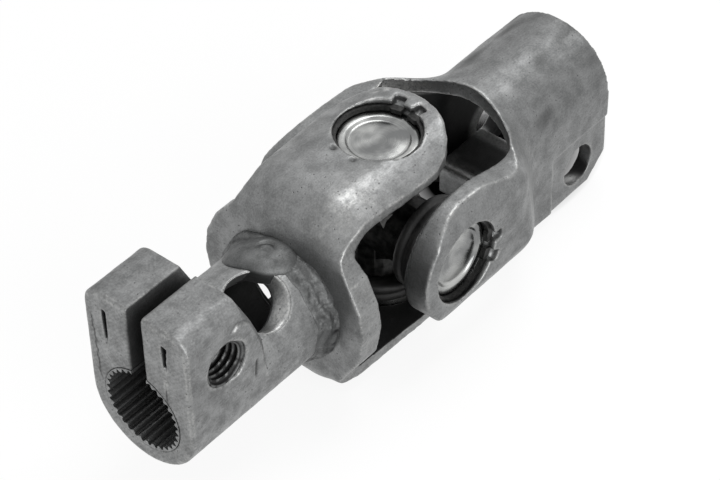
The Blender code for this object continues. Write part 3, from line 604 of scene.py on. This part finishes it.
# %% [markdown]
# ## Worn skins for the pressed pieces
# A press, a tumbler and years of handling leave no sharp edge on a steering joint. The packed
# piece has true sharp edges, so a copy of its mesh is remeshed in small even cells and
# smoothed, which rounds every edge by about the size of one cell. Away from the sharp edges
# it is smoothed much more, so that the flat facets of a curved wall melt into one curve.
# Bores that get their own fine piece later, such as a thread, are opened first.


# %% Reskin
MELT_ROUNDS = 40
MELT_START, MELT_FULL = 0.7, 1.8
MELT_LEVELS = 10


def reskin(node, name, paint, cell_mm, rounds, bores=()):
    """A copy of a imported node, bored, remeshed in even cells and smoothed at its edges."""
    skin = bpy.data.objects.new(name, nodes[node].data.copy())
    bpy.context.scene.collection.objects.link(skin)
    for bore in bores:
        cut_by(skin, bore)
    cells = skin.modifiers.new("cells", "REMESH")
    cells.mode = "VOXEL"
    cells.voxel_size = cell_mm * MM
    soften = skin.modifiers.new("soften", "SMOOTH")
    soften.factor = 0.5
    soften.iterations = rounds
    points = read_points(applied(skin))
    for bore in bores:
        bpy.data.objects.remove(bore)
    away = distance_to(edge_marks(node, inner_too=True), points, WEAR_LIMIT)
    levels = np.round(ramp(away, MELT_START, MELT_FULL) * MELT_LEVELS)
    free = skin.vertex_groups.new(name="free")
    for level in range(1, MELT_LEVELS + 1):
        free.add(np.nonzero(levels == level)[0].tolist(), level / MELT_LEVELS, "REPLACE")
    melt = skin.modifiers.new("melt", "SMOOTH")
    melt.factor = 0.5
    melt.iterations = MELT_ROUNDS
    melt.vertex_group = free.name
    applied(skin)
    dress(skin, paint, node)
    print(name, "faces:", len(skin.data.polygons))
    return skin


print("rounds of smoothing away from edges:", MELT_ROUNDS)

# %% [markdown]
# ## The clamp hub's shape
# A thick tube whose edges are folded up into two lugs, saw cut at the front, with a thread in
# the near lug and splines in the bore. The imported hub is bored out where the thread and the
# splines go. The near lug then gets the low step of the fold behind the bolt hole, with a thin
# slit below it. The step follows a drawn line, so each point needs its side of that line.

# %% Clamp hub shape
HUB_FRONT, HUB_RADIUS = -61.0, 11.4
BOLT_X, BOLT_Z = -52.0, 11.1
SLIT_X = -45.4
FOLD_LINE = [(-50.2, 17.2), (-49.2, 17.9), (-47.6, 17.3), (-46.2, 16.0), (-45.0, 13.0),
             (-43.8, 8.8), (-43.5, 2.8)]
FAR_FROM_FOLD = 9.0
STEP_RISE, SLIT_DEPTH = 0.45, 0.40
thread_bore = plug("thread_bore", 4.3, (BOLT_X, -12.5, BOLT_Z), (BOLT_X, -1.0, BOLT_Z))
spline_bore = plug("spline_bore", 8.2, (HUB_FRONT - 1.0, 0.0, 0.0), (HUB_FRONT + 21.0, 0.0, 0.0))
hub_skin = reskin("clamp_hub", "rolled_clamp_hub", rolled_steel,
                  cell_mm=0.29, rounds=3, bores=(thread_bore, spline_bore))
hub_points = read_points(hub_skin.data)
hub_normals = read_normals(hub_skin.data)
x, y, z = hub_points.T
nx, ny, nz = hub_normals.T

beyond = np.full(len(x), FAR_FROM_FOLD)
inside = np.zeros(len(x))
for (x0, z0), (x1, z1) in zip(FOLD_LINE, FOLD_LINE[1:]):
    run, rise = x1 - x0, z1 - z0
    share = np.clip(((x - x0) * run + (z - z0) * rise) / (run * run + rise * rise), 0, 1)
    away = np.hypot(x - x0 - share * run, z - z0 - share * rise)
    side = np.sign(run * (z - z0) - rise * (x - x0))
    nearer = away < beyond
    beyond = np.where(nearer, away, beyond)
    inside = np.where(nearer, -side, inside)
step_up = ramp(beyond * inside, -0.10, 0.18) * ramp(z, 1.5, 7.0) * ramp(x, -51.5, -49.5)
on_near_face = ramp(-y, 10.6, 11.2) * ramp(-ny, 0.6, 0.9)
slit = ramp(0.35 - np.abs(x - SLIT_X), 0.0, 0.3) * ramp(z, 2.4, 3.4) * ramp(-z, -7.6, -6.4)

push = 0.035 * unevenness(hub_points, 2.6, 1) + 0.02 * unevenness(hub_points, 1.0, 2)
push += on_near_face * (STEP_RISE * step_up - SLIT_DEPTH * slit)
chips = np.minimum(unevenness(hub_points, 1.3, 12), 0)
push += 0.3 * chips * ramp(-x, 60.4, 60.9) * ramp(z, 12.0, 15.0) * ramp(-y, 2.0, 5.0)
write_points(hub_skin.data, hub_points + hub_normals * push[:, None])
print("hub points:", len(hub_points))

# %% [markdown]
# ## The clamp hub's dark marks, wear and painted shade
# The saw leaves fine strokes on the front face, and the folds end there in two dark seams; the
# slit below the step is dark too. The bore, the slot and a line below the step are painted dark
# as painted shade, and the lugs' tops are darkened a little as painted shade. Edges are rubbed
# bright, and the crest of the step carries a painted highlight.

# %% Clamp hub dark marks, wear and painted shade
radial = (ny * y + nz * z) / np.maximum(np.hypot(y, z), 0.1)
in_bore = ramp(-radial, 0.2, 0.6) * ramp(-np.hypot(y, z), -9.0, -8.6)
on_front = ramp(-nx, 0.7, 0.9) * ramp(-x, 60.2, 60.6)
near_seam = (ramp(0.22 - np.abs(y + 6.3 + 0.05 * (z - 9.0)), 0.0, 0.2)
             * ramp(z, 2.0, 3.5) * ramp(-z, -9.5, -8.5))
wander = 0.35 * unevenness(hub_points * np.array((0.0, 0.0, 1.0)), 1.6, 9)
far_seam = (ramp(0.26 - np.abs(y - 9.3 - wander - 0.05 * (z - 8.0)), 0.0, 0.2)
            * ramp(z, 1.0, 3.0) * ramp(-z, -17.5, -15.5))
seams = on_front * np.maximum(near_seam, far_seam)
in_slot = ramp(-np.abs(y), -2.0, -1.8) * ramp(z, 7.0, 7.5) * ramp(-x, 43.0, 43.5)
below_step = np.exp(-((beyond * inside + 0.25) / 0.22) ** 2)
# Painted shade in the bore, the slot, below the step and faintly on the lugs' tops; the seams and slit
# are dark marks.
hub_dirt_and_shade = 0.9 * in_bore + 0.7 * in_slot * (1 - 0.5 * ramp(z, 17.0, 21.0)) + 0.85 * seams
hub_dirt_and_shade += 0.8 * on_near_face * slit + 0.45 * on_near_face * below_step * ramp(z, 1.5, 7.0)
hub_dirt_and_shade += 0.24 * ramp(nz, 0.6, 0.9) * ramp(z, 17.0, 19.0)
paint_points(hub_skin.data, "dirt_and_shade", hub_dirt_and_shade)
paint_points(hub_skin.data, "sawn", on_front)
hub_worn = 0.8 * edge_wear("clamp_hub", hub_points, width_mm=0.28, seed=21)
# Painted highlight along the crest of the step.
step_crest = on_near_face * step_up * ramp(-beyond, -0.40, -0.1)
paint_points(hub_skin.data, "wear_and_highlight", np.maximum(hub_worn, 0.8 * step_crest))
print("hub points with dirt:", int((hub_dirt_and_shade > 0.5).sum()))

# %% [markdown]
# ## The punched wall of the sight hole
# The round hole shows how far the shaft is in. A punch tears the last part of its cut, so the
# wall leans inward there, most of all on the near side, and this liner gives it that lean.


# %% Sight hole wall
def punched_wall(centre_x, tilt, radius, most_lean, lean_angle):
    """A ring in the sight hole whose wall leans inward on one side."""
    around, rows = 96, 8
    shape = bmesh.new()

    def at(angle, reach, bore):
        across = reach * math.sin(angle)
        height = math.sqrt(bore * bore - across * across)
        return shape.verts.new((
            centre_x + reach * math.cos(angle),
            across * math.cos(tilt) - height * math.sin(tilt),
            across * math.sin(tilt) + height * math.cos(tilt)))

    angles = [2 * math.pi * step / around for step in range(around)]
    rings = []
    for row in range(rows + 1):
        share = row / rows
        ring = []
        for angle in angles:
            leans = max(0.12 + 0.88 * math.cos(angle - lean_angle), 0.0)
            ring.append(at(angle, radius - most_lean * share ** 0.8 * leans - 0.02, 11.3 - 3.0 * share))
        rings.append(ring)
    rings.append([at(angle, radius + 0.3, 8.3) for angle in angles])
    rings.append([at(angle, radius + 0.3, 11.0) for angle in angles])
    bridge(shape, rings)
    return shape


hole_shape = punched_wall(centre_x=HUB_FRONT + 23.9, tilt=math.radians(25.7), radius=5.8,
                          most_lean=2.9, lean_angle=math.radians(-62))
hole_wall = new_piece("punched_sight_hole_wall", hole_shape, rolled_steel, "clamp_hub")
wall_points = read_points(hole_wall.data)
wall_radius = np.hypot(wall_points[:, 1], wall_points[:, 2])
# Painted light: the wall's hollow shade is lifted and its upper part is lightened.
paint_points(hole_wall.data, "shade_lifted", np.full(len(wall_points), 0.9))
paint_points(hole_wall.data, "wear_and_highlight", 0.45 * ramp(wall_radius, 8.5, 9.5))
print("sight hole wall points:", len(wall_points))

# %% [markdown]
# ## The thread in the near lug
# An M8 thread with its 1.25 mm pitch: a tube whose inner wall follows a real helix, and whose
# mouth is countersunk through the first turn.


# %% Thread
def threaded_tube(outer, minor, depth, pitch, mouth, end):
    """A tube along Y with a helical thread inside and a countersunk mouth."""
    around, rows = 96, int((end - mouth) / pitch * 12)
    angles = [2 * math.pi * step / around for step in range(around)]
    shape = bmesh.new()

    def ring(along, radii):
        return [shape.verts.new((BOLT_X + radius * math.cos(angle), along,
                                 BOLT_Z + radius * math.sin(angle)))
                for radius, angle in zip(radii, angles)]

    inner_rings = []
    for row in range(rows + 1):
        along = mouth + (end - mouth) * row / rows
        radii = []
        for step in range(around):
            phase = (along / pitch + step / around) % 1.0
            height = min(max((abs(phase - 0.5) * 2 - 0.14) / 0.72, 0.0), 1.0)
            radii.append(max(minor + depth * height, outer - 0.08 - 1.6 * (along - mouth)))
        inner_rings.append(ring(along, radii))
    near_ring, far_ring = (ring(along, [outer] * around) for along in (mouth, end))
    bridge(shape, [near_ring] + inner_rings + [far_ring])
    return shape


PITCH = 1.25
THREAD_MOUTH, THREAD_END = -11.2, -1.8
thread_shape = threaded_tube(outer=4.4, minor=3.45, depth=0.66, pitch=PITCH,
                             mouth=THREAD_MOUTH, end=THREAD_END)
thread = new_piece("m8_thread_in_near_lug", thread_shape, rolled_steel, "clamp_hub")
thread_points = read_points(thread.data)
thread_radius = np.hypot(thread_points[:, 0] - BOLT_X, thread_points[:, 2] - BOLT_Z)
low_side = ramp(-thread_points[:, 2], -BOLT_Z, 2.0 - BOLT_Z)
clotted = low_side * ramp(unevenness(thread_points, 0.8, 30), -0.2, 0.2)
root_shade = ramp(thread_radius, 3.50, 3.85) * ramp(thread_points[:, 1], -11.15, -10.9)
crests = ramp(-thread_radius, -3.56, -3.46)
# Painted shade: the whole thread is darkened, its roots most, and dirt clots on its low side; crests
# towards the mouth are lightened.
paint_points(thread.data, "dirt_and_shade", np.maximum(np.maximum(root_shade, 0.9 * clotted), 0.4))
paint_points(thread.data, "wear_and_highlight", 0.3 * crests * ramp(-thread_points[:, 1], 6.0, 10.0))
print("thread turns:", round((THREAD_END - THREAD_MOUTH) / PITCH, 1))

# %% [markdown]
# ## The splines in the bore
# 32 broached teeth with narrow lands, on a liner that fills the bored hub and opens at the
# clamp slot. Inside the bore the teeth are painted dark as painted shade, the roots most, so
# the lands stay lighter.


# %% Splines
def splined_liner(teeth, tip, root, outer, front, back_end):
    """A ring along X with teeth inside and a lead-in chamfer."""
    inner = []
    for tooth in range(teeth):
        for part, radius in ((-0.40, root), (-0.10, tip), (0.10, tip), (0.40, root)):
            inner.append((2 * math.pi * (tooth + part) / teeth, radius))
    shape = bmesh.new()
    rings = []
    for along, grow in ((front, 0.08), (front + 0.1, 0.0), (back_end, 0.0)):
        rings.append([shape.verts.new((along, min(radius + grow, outer - 0.12) * math.cos(angle),
                                       min(radius + grow, outer - 0.12) * math.sin(angle)))
                      for angle, radius in inner])
    for along in (back_end, front):
        rings.append([shape.verts.new((along, outer * math.cos(angle), outer * math.sin(angle)))
                      for angle, _ in inner])
    bridge(shape, rings)
    return shape


SLOT_MIDDLE = (-52.9, 0.0, 6.0)
SLOT_SIZE = (18.6, 3.36, 12.0)
spline_shape = splined_liner(teeth=32, tip=7.45, root=8.05, outer=8.3,
                             front=HUB_FRONT - 0.02, back_end=HUB_FRONT + 20.8)
splines = new_piece("broached_splines", spline_shape, rolled_steel, "clamp_hub")
slot_shape = bmesh.new()
bmesh.ops.create_cube(slot_shape, size=1.0)
slot_place = Matrix.Translation(joint_centre + Vector(SLOT_MIDDLE) * MM)
slot_stretch = Matrix.Diagonal((*(side * MM for side in SLOT_SIZE), 1.0))
slot_tool = new_object("slot_tool", slot_shape, slot_place @ slot_stretch)
cut_by(splines, slot_tool)
spline_mesh = applied(splines)
bpy.data.objects.remove(slot_tool)
spline_mesh.shade_smooth()
spline_mesh.set_sharp_from_angle(angle=math.radians(25))
spline_points = read_points(spline_mesh)
spline_radius = np.hypot(spline_points[:, 1], spline_points[:, 2])
spline_deep = ramp(spline_points[:, 0], -60.97, -60.9)
# Painted shade inside the bore, deepest at the roots; the front face is left light.
paint_points(spline_mesh, "dirt_and_shade", spline_deep * (0.62 + 0.37 * ramp(spline_radius, 7.48, 7.6)))
paint_points(spline_mesh, "sawn", 1 - spline_deep)
print("spline faces:", len(spline_mesh.polygons))

# %% [markdown]
# ## The weld bead
# One arc weld pass runs round the sleeve where it meets the yoke. The bead's section is a
# bulged fillet. Two waves lie on it: fine freezing lines across it, and long folds along it
# where the metal sagged. Both toes wander, and a few gas pits lie on the near side. Each
# point's dirt is noted as it is made.

# %% Weld bead
PLATE_FACE = -26.0
EAR_FACE = 20.0
UPPER_BEND, LOWER_BEND = 10.0, 6.8
BEAD_REACH, BEAD_RISE = 4.3, 1.65
BEAD_PATH_RADIUS = 12.5
FREEZING_LINE_SPACING = 0.9
GAS_PITS = [(-26.8, -12.9, -0.9, 0.8), (-26.8, -12.6, -3.8, 0.6), (-26.7, -12.0, -6.4, 0.8),
            (-29.0, -11.9, 3.5, 0.45), (-27.4, -10.9, 7.6, 0.5)]  # x, y, z and size


def plate_face_at(height):
    """X of the yoke's outer face at a height, which falls away round each bend."""
    bend = UPPER_BEND if height > 0 else LOWER_BEND
    past = max(abs(height) - (EAR_FACE - bend), 0.0)
    return PLATE_FACE + bend - math.sqrt(bend * bend - past * past)


def weld_bead(shape, scale_dirt):
    """The fillet round the sleeve as one closed ring; notes the dirt of each point."""
    around, across = 440, 26
    rings = []
    for step in range(around):
        angle = 2 * math.pi * step / around
        out = (math.sin(angle), math.cos(angle))
        wander = noise.noise(Vector((3.0 * out[0], 3.0 * out[1], 4.0)))
        other = noise.noise(Vector((5.0 * out[0], 5.0 * out[1], 9.0)))
        buried = min(max((out[1] - 0.80) / 0.15, 0.0), 1.0)
        reach = BEAD_REACH + 0.8 * wander
        rise = (BEAD_RISE + 0.35 * other) * (1 - 0.5 * buried)
        toe = plate_face_at((HUB_RADIUS + rise) * out[1]) + 0.15
        ring = []
        for stage in range(across + 1):
            share = stage / across
            swing = share * math.pi / 2
            along = toe - reach * math.cos(swing) ** 1.6
            radius = HUB_RADIUS - 0.08 + rise * math.sin(swing) ** 1.6
            mid = math.sin(math.pi * share)
            travelled = angle * BEAD_PATH_RADIUS
            lines = math.sin(2 * math.pi * (travelled / FREEZING_LINE_SPACING
                                            + 1.3 * (share - 0.5) ** 2 * 4 + wander))
            drift = noise.noise(Vector((0.9 * share, 0.22 * travelled, 3.0)))
            folds = math.sin(2 * math.pi * (2.8 * share + 0.4 * wander + 0.45 * drift))
            lump = noise.noise(Vector((2.2 * along, 1.1 * radius * out[0], 1.1 * radius * out[1])))
            push = mid * (0.02 * lines + 0.16 * folds * (0.7 + 0.5 * other) + 0.16 * lump)
            crease = max(-folds - 0.45, 0.0) / 0.55 * (0.6 + 0.8 * drift)
            toe_line = max(1 - share / 0.05, 0.0) + max((share - 0.93) / 0.07, 0.0)
            dirt = 0.55 * mid * crease + 0.6 * toe_line
            along -= push * math.cos(swing) * 0.7
            radius += push * math.sin(swing) + push * 0.4
            place = Vector((along, radius * out[0], radius * out[1]))
            for pit_x, pit_y, pit_z, size in GAS_PITS:
                near = math.exp(-((place - Vector((pit_x, pit_y, pit_z))).length / size) ** 2)
                dirt = max(dirt, near)
                place.x += 0.45 * near
                place.y -= 0.35 * near * out[0]
                place.z -= 0.35 * near * out[1]
            ring.append(shape.verts.new(place))
            scale_dirt.append(dirt)
        inner = HUB_RADIUS - 0.4
        for along, radius in ((toe + 0.5, HUB_RADIUS + rise - 0.1), (toe + 0.5, inner),
                              (toe - reach + 0.4, inner)):
            ring.append(shape.verts.new((along, radius * out[0], radius * out[1])))
            scale_dirt.append(0.0)
        rings.append(ring)
    bridge(shape, rings)


weld_shape = bmesh.new()
weld_dirt = []
weld_bead(weld_shape, weld_dirt)
print("weld bead points:", len(weld_dirt))

# %% [markdown]
# ## The puddle at the end of the weld
# The pass ends on top of the sleeve in an oval puddle. It froze from its edge inward, so the
# middle shrank to a crater with a dark arc round one side. Bead and puddle are one piece.

# %% Weld puddle
PUDDLE_MIDDLE = Vector((-29.5, 1.3))
PUDDLE_LONG_WAY, PUDDLE_SHORT_WAY = Vector((0.45, -0.89)), Vector((0.89, 0.45))
PUDDLE_LENGTH, PUDDLE_WIDTH = 6.8, 4.5
PUDDLE_TOP = 12.9
PUDDLE_FOOT = 9.0
PUDDLE_OVERRUN = 1.03
SHOULDER, SHOULDER_RUN = 0.60, 0.43
CRATER = Vector((-28.9, 0.6))


def weld_puddle(shape, scale_dirt):
    """The round end of the weld on top of the sleeve, with its crater; notes the dirt too."""
    around, rows = 120, 34
    rings = []
    for row in range(1, rows + 1):
        share = row / rows * PUDDLE_OVERRUN
        ring = []
        for step in range(around):
            angle = 2 * math.pi * step / around
            edge = 1 + 0.05 * noise.noise(Vector((2 * math.cos(angle), 2 * math.sin(angle), 2.0)))
            flat = PUDDLE_MIDDLE + PUDDLE_LONG_WAY * (PUDDLE_LENGTH * edge * share * math.cos(angle))
            flat += PUDDLE_SHORT_WAY * (PUDDLE_WIDTH * edge * share * math.sin(angle))
            sleeve_z = math.sqrt(max(HUB_RADIUS ** 2 - flat.y ** 2, 1.0)) - 0.3
            top = PUDDLE_TOP - 0.7 * share ** 2 - 0.032 * flat.y ** 2
            if share > SHOULDER:
                left = math.sqrt(max(1 - ((share - SHOULDER) / SHOULDER_RUN) ** 2, 0.0))
                top = sleeve_z + (top - sleeve_z) * left
            away = flat - CRATER
            turn = math.cos(math.atan2(away.y, away.x) - 0.5)
            top -= 0.34 * math.exp(-((away.length - 1.5) / 0.40) ** 2) * max(turn + 0.25, 0.0)
            top -= 0.16 * math.exp(-(away.length / 1.3) ** 2)
            top += 0.05 * noise.noise(Vector((flat.x * 0.8, flat.y * 0.8, 1.0)))
            ring.append(shape.verts.new((flat.x, flat.y, top)))
            arc = math.exp(-((away.length - 1.25) / 0.22) ** 2) * max(turn - 0.1, 0.0)
            scale_dirt.append(0.85 * arc + 0.7 * max((share - 0.985) / 0.045, 0.0))
        rings.append(ring)
    centre_top = shape.verts.new((*PUDDLE_MIDDLE, PUDDLE_TOP - 0.05))
    centre_low = shape.verts.new((*PUDDLE_MIDDLE, PUDDLE_FOOT))
    foot = []
    for vert in rings[-1]:
        low = PUDDLE_FOOT if abs(vert.co.y) < 6 else vert.co.z - 0.6
        foot.append(shape.verts.new((vert.co.x, vert.co.y, low)))
    bridge(shape, [[centre_top]] + rings + [foot, [centre_low]], closed=False)


weld_puddle(weld_shape, weld_dirt)
weld_piece = new_piece("rippled_weld_and_puddle", weld_shape, weld_steel, "weld_bead")
weld_dirt += [0.0] * (len(weld_piece.data.vertices) - len(weld_dirt))
paint_points(weld_piece.data, "dirt_and_shade", weld_dirt)
print("weld faces:", len(weld_piece.data.polygons))

# %% [markdown]
# ## The bent clamp yoke
# A strip of plate bent to a U. Its cut edges show sheared, lighter metal, the upper ear has a
# painted highlight on its near side, and two small dents by the bearing show where the ear
# was staked; the dents are darkened. Inside, it is painted nearly black as painted shade.

# %% Clamp yoke
STAKES = ((-8.5, 2.9, 20.0), (-8.7, -1.7, 20.0))
STAKE_RADIUS, STAKE_DEPTH = 0.55, 0.55
PATCH_X, PATCH_Y = -17.0, -7.6
clamp_skin = reskin("hub_yoke", "bent_clamp_yoke", pressed_steel,
                    cell_mm=0.26, rounds=4)
clamp_points = read_points(clamp_skin.data)
clamp_normals = read_normals(clamp_skin.data)
x, y, z = clamp_points.T
nx, ny, nz = clamp_normals.T
push = 0.05 * unevenness(clamp_points, 4.0, 3) + 0.02 * unevenness(clamp_points, 1.2, 4)
deep, shallow = (spot(clamp_points, place, STAKE_RADIUS) for place in STAKES)
stakes = deep + 0.9 * shallow
push -= STAKE_DEPTH * stakes
cut_edge = ramp(np.abs(ny), 0.55, 0.85)
push += cut_edge * 0.06 * unevenness(clamp_points * np.array((1.0, 1.0, 0.25)), 0.8, 5)
write_points(clamp_skin.data, clamp_points + clamp_normals * push[:, None])
inside_ears = ramp(-nz * np.sign(z), 0.3, 0.7) * ramp(-np.abs(z), -15.6, -15.2)
inside_base = ramp(nx, 0.3, 0.7) * ramp(x, -23.0, -21.4) * ramp(-np.abs(z), -15.6, -15.0)
inner_side = np.maximum(inside_ears, inside_base)
# Painted highlight: a bright patch on the near side of the upper ear.
painted_sheen_patch = np.exp(-((x - PATCH_X) / 7.0) ** 2 - ((y - PATCH_Y) / 3.8) ** 2) * ramp(z, 13.0, 15.5)
painted_sheen_patch *= 0.55 + 0.7 * unevenness(clamp_points * np.array((0.5, 1.0, 1.0)), 0.9, 24)
clamp_worn = 0.85 * edge_wear("hub_yoke", clamp_points, width_mm=0.32, seed=22)
# Painted shade inside the U, and the dents darkened.
paint_points(clamp_skin.data, "dirt_and_shade", 0.9 * inner_side + 0.7 * stakes)
paint_points(clamp_skin.data, "wear_and_highlight",
             np.maximum(clamp_worn, 0.65 * painted_sheen_patch + 0.20 * cut_edge))
print("clamp yoke points:", len(clamp_points))

# %% [markdown]
# ## The pressed channel yoke
# One blank drawn from two flat ears into a half tube, which leaves long shallow dents in the
# tube. Its inside is painted dark as painted shade, except near the flared rim and on the tab,
# where that shade is lifted and the rim's inner band gets painted light. Faint smudges lie along
# the tube, and the far lip of the rim carries strong painted light.

# %% Channel yoke
TUBE_START, TUBE_FULL = 26.0, 34.0
DENT_DEPTH = 0.14
ALONG_TUBE = np.array((0.5, 1.0, 1.0))
RIM_REACH = 9.0
channel_skin = reskin("channel_yoke", "pressed_channel_yoke", pressed_steel,
                      cell_mm=0.33, rounds=3)
channel_points = read_points(channel_skin.data)
channel_normals = read_normals(channel_skin.data)
x, y, z = channel_points.T
nx, ny, nz = channel_normals.T
outward = (ny * y + nz * z) / np.maximum(np.hypot(y, z), 0.1)
push = 0.05 * unevenness(channel_points, 4.0, 6) + 0.02 * unevenness(channel_points, 1.2, 7)
dents = unevenness(channel_points * ALONG_TUBE, 5.0, 8)
push += DENT_DEPTH * dents * ramp(x, TUBE_START, TUBE_FULL) * ramp(outward, 0.3, 0.8)
write_points(channel_skin.data, channel_points + channel_normals * push[:, None])

hidden = ramp(-outward, 0.1, 0.5)
on_tab = ramp(x, 25.8, 26.4) * ramp(-x, -39.4, -39.0) * ramp(nz, 0.5, 0.9) * ramp(-z, 9.0, 10.0)
cut_face = (np.abs(outward) < 0.62) & ((np.abs(ny) < 0.5) | (nx < -0.5)) & (x < 44.0)
past_rim = distance_to(channel_points[cut_face][::3], channel_points, RIM_REACH)
unshaded_rim = ramp(-past_rim, -3.6, -1.6) * ramp(x, 2.0, 6.0)
# Painted light: near the rim the hollow shade is lifted.
paint_points(channel_skin.data, "shade_lifted", 0.8 * unshaded_rim)
blotches = ramp(unevenness(channel_points * np.array((0.4, 1.0, 1.0)), 4.5, 31), 0.10, 0.55)
smudges = (0.14 + 0.42 * blotches) * ramp(x, 27.0, 34.0) * ramp(outward, 0.5, 0.8) * ramp(z, 0.0, 6.0)
# Painted shade on the inside, less near the rim and on the tab; the smudges are stains.
channel_dirt_and_shade = 0.93 * hidden * (1 - 0.85 * unshaded_rim) - 0.25 * on_tab + smudges
paint_points(channel_skin.data, "dirt_and_shade", channel_dirt_and_shade)
channel_worn = 0.85 * edge_wear("channel_yoke", channel_points, width_mm=0.32, seed=23)
# Painted light on the far lip and the rim's inner band, besides the worn edges.
far_lip = hidden * unshaded_rim * ramp(z, -4.0, -1.0) * ramp(y, 5.0, 9.0)
channel_wear_and_light = channel_worn * (1 - 0.8 * hidden) + 0.45 * unshaded_rim * hidden + 0.9 * far_lip
paint_points(channel_skin.data, "wear_and_highlight", channel_wear_and_light)
print("channel yoke points:", len(channel_points), "on the wiped rim:", int((unshaded_rim > 0.5).sum()))

# %% [markdown]
# ## Bearing cups
# Each trunnion turns in a drawn cup whose closed end looks out of the ear: a flat land, a
# rounded step and a slightly dished middle. A lathe profile in millimetres gives that face,
# and each point remembers its distance from the axis, so the finish can lay its rings round it.


# %% Bearing cups
def lathe(profile, turn, steps=144, closed=False):
    """A profile of (radius, height) turned about an axis; a radius of 0 is on the axis."""
    shape = bmesh.new()
    rings = []
    for radius, height in profile:
        count = steps if radius else 1
        ring = []
        for step in range(count):
            angle = 2 * math.pi * step / steps
            place = turn @ Vector((radius * math.cos(angle), radius * math.sin(angle), height))
            ring.append(shape.verts.new(place))
        rings.append(ring)
    bridge(shape, rings, closed)
    return shape


CUP_PROFILE = [(0.0, 17.44), (2.4, 17.42), (4.2, 17.36), (4.9, 17.28), (5.25, 17.26), (5.5, 17.36),
               (5.68, 17.58), (5.86, 17.72), (6.1, 17.78), (6.6, 17.79), (7.0, 17.74), (7.3, 17.62),
               (7.6, 17.45), (7.82, 17.2), (7.89, 16.9), (7.89, 11.35), (7.75, 11.22), (7.0, 11.22),
               (6.9, 11.35), (6.9, 16.5), (0.0, 16.5)]
TRUNNION_TURNS = {"top": 0.0, "bottom": math.pi, "near": math.pi / 2, "far": -math.pi / 2}
for place, angle in TRUNNION_TURNS.items():
    turn = Matrix.Rotation(angle, 3, "X")
    cup = new_piece("drawn_cup_" + place, lathe(CUP_PROFILE, turn), ground_steel,
                    "bearing_cup_" + place)
    cup_points = read_points(cup.data)
    level_points = cup_points @ np.array(turn)
    paint_points(cup.data, "turning", np.hypot(level_points[:, 0], level_points[:, 1]) * MM)
    # Painted shade: the cup's wall inside the ear and under the seal is darkened.
    paint_points(cup.data, "dirt_and_shade", 0.9 * ramp(-level_points[:, 2], -16.4, -15.6))
print("cups:", len(TRUNNION_TURNS), "profile points:", len(CUP_PROFILE))

# %% [markdown]
# ## Rubber seals
# A moulded ring sits on each trunnion's shoulder, and its skirt reaches over the mouth of the
# cup to keep dirt out of the needles. It is soft rubber, so its edges are round and a shallow
# groove lets the skirt flex.

# %% Seals
SEAL_PROFILE = [(5.0, 9.8), (7.9, 9.78), (8.45, 9.95), (8.72, 10.35), (8.78, 10.9), (8.62, 11.4),
                (8.40, 11.7), (8.40, 12.0), (8.55, 12.3), (8.58, 12.9), (8.45, 13.4), (8.25, 13.62),
                (8.05, 13.55), (8.0, 13.2), (8.0, 11.1), (6.7, 10.9), (6.7, 12.0), (5.1, 12.0),
                (5.0, 11.8)]
for place, angle in TRUNNION_TURNS.items():
    ring = lathe(SEAL_PROFILE, Matrix.Rotation(angle, 3, "X"), closed=True)
    new_piece("moulded_seal_" + place, ring, rubber, "seal_" + place)
print("seals:", len(TRUNNION_TURNS), "profile points:", len(SEAL_PROFILE))

# %% [markdown]
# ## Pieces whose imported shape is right
# The cross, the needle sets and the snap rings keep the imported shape, because it is the real
# one, and get their finishes.

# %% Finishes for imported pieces
finishes = {"cross": cross_steel, "needle_set": ground_steel, "snap_ring": spring_steel}
for name, thing in nodes.items():
    for start, paint in finishes.items():
        if name.startswith(start):
            thing.data.materials.clear()
            thing.data.materials.append(paint)
print("packed pieces kept:", sum(1 for name in nodes if name.startswith(tuple(finishes))))
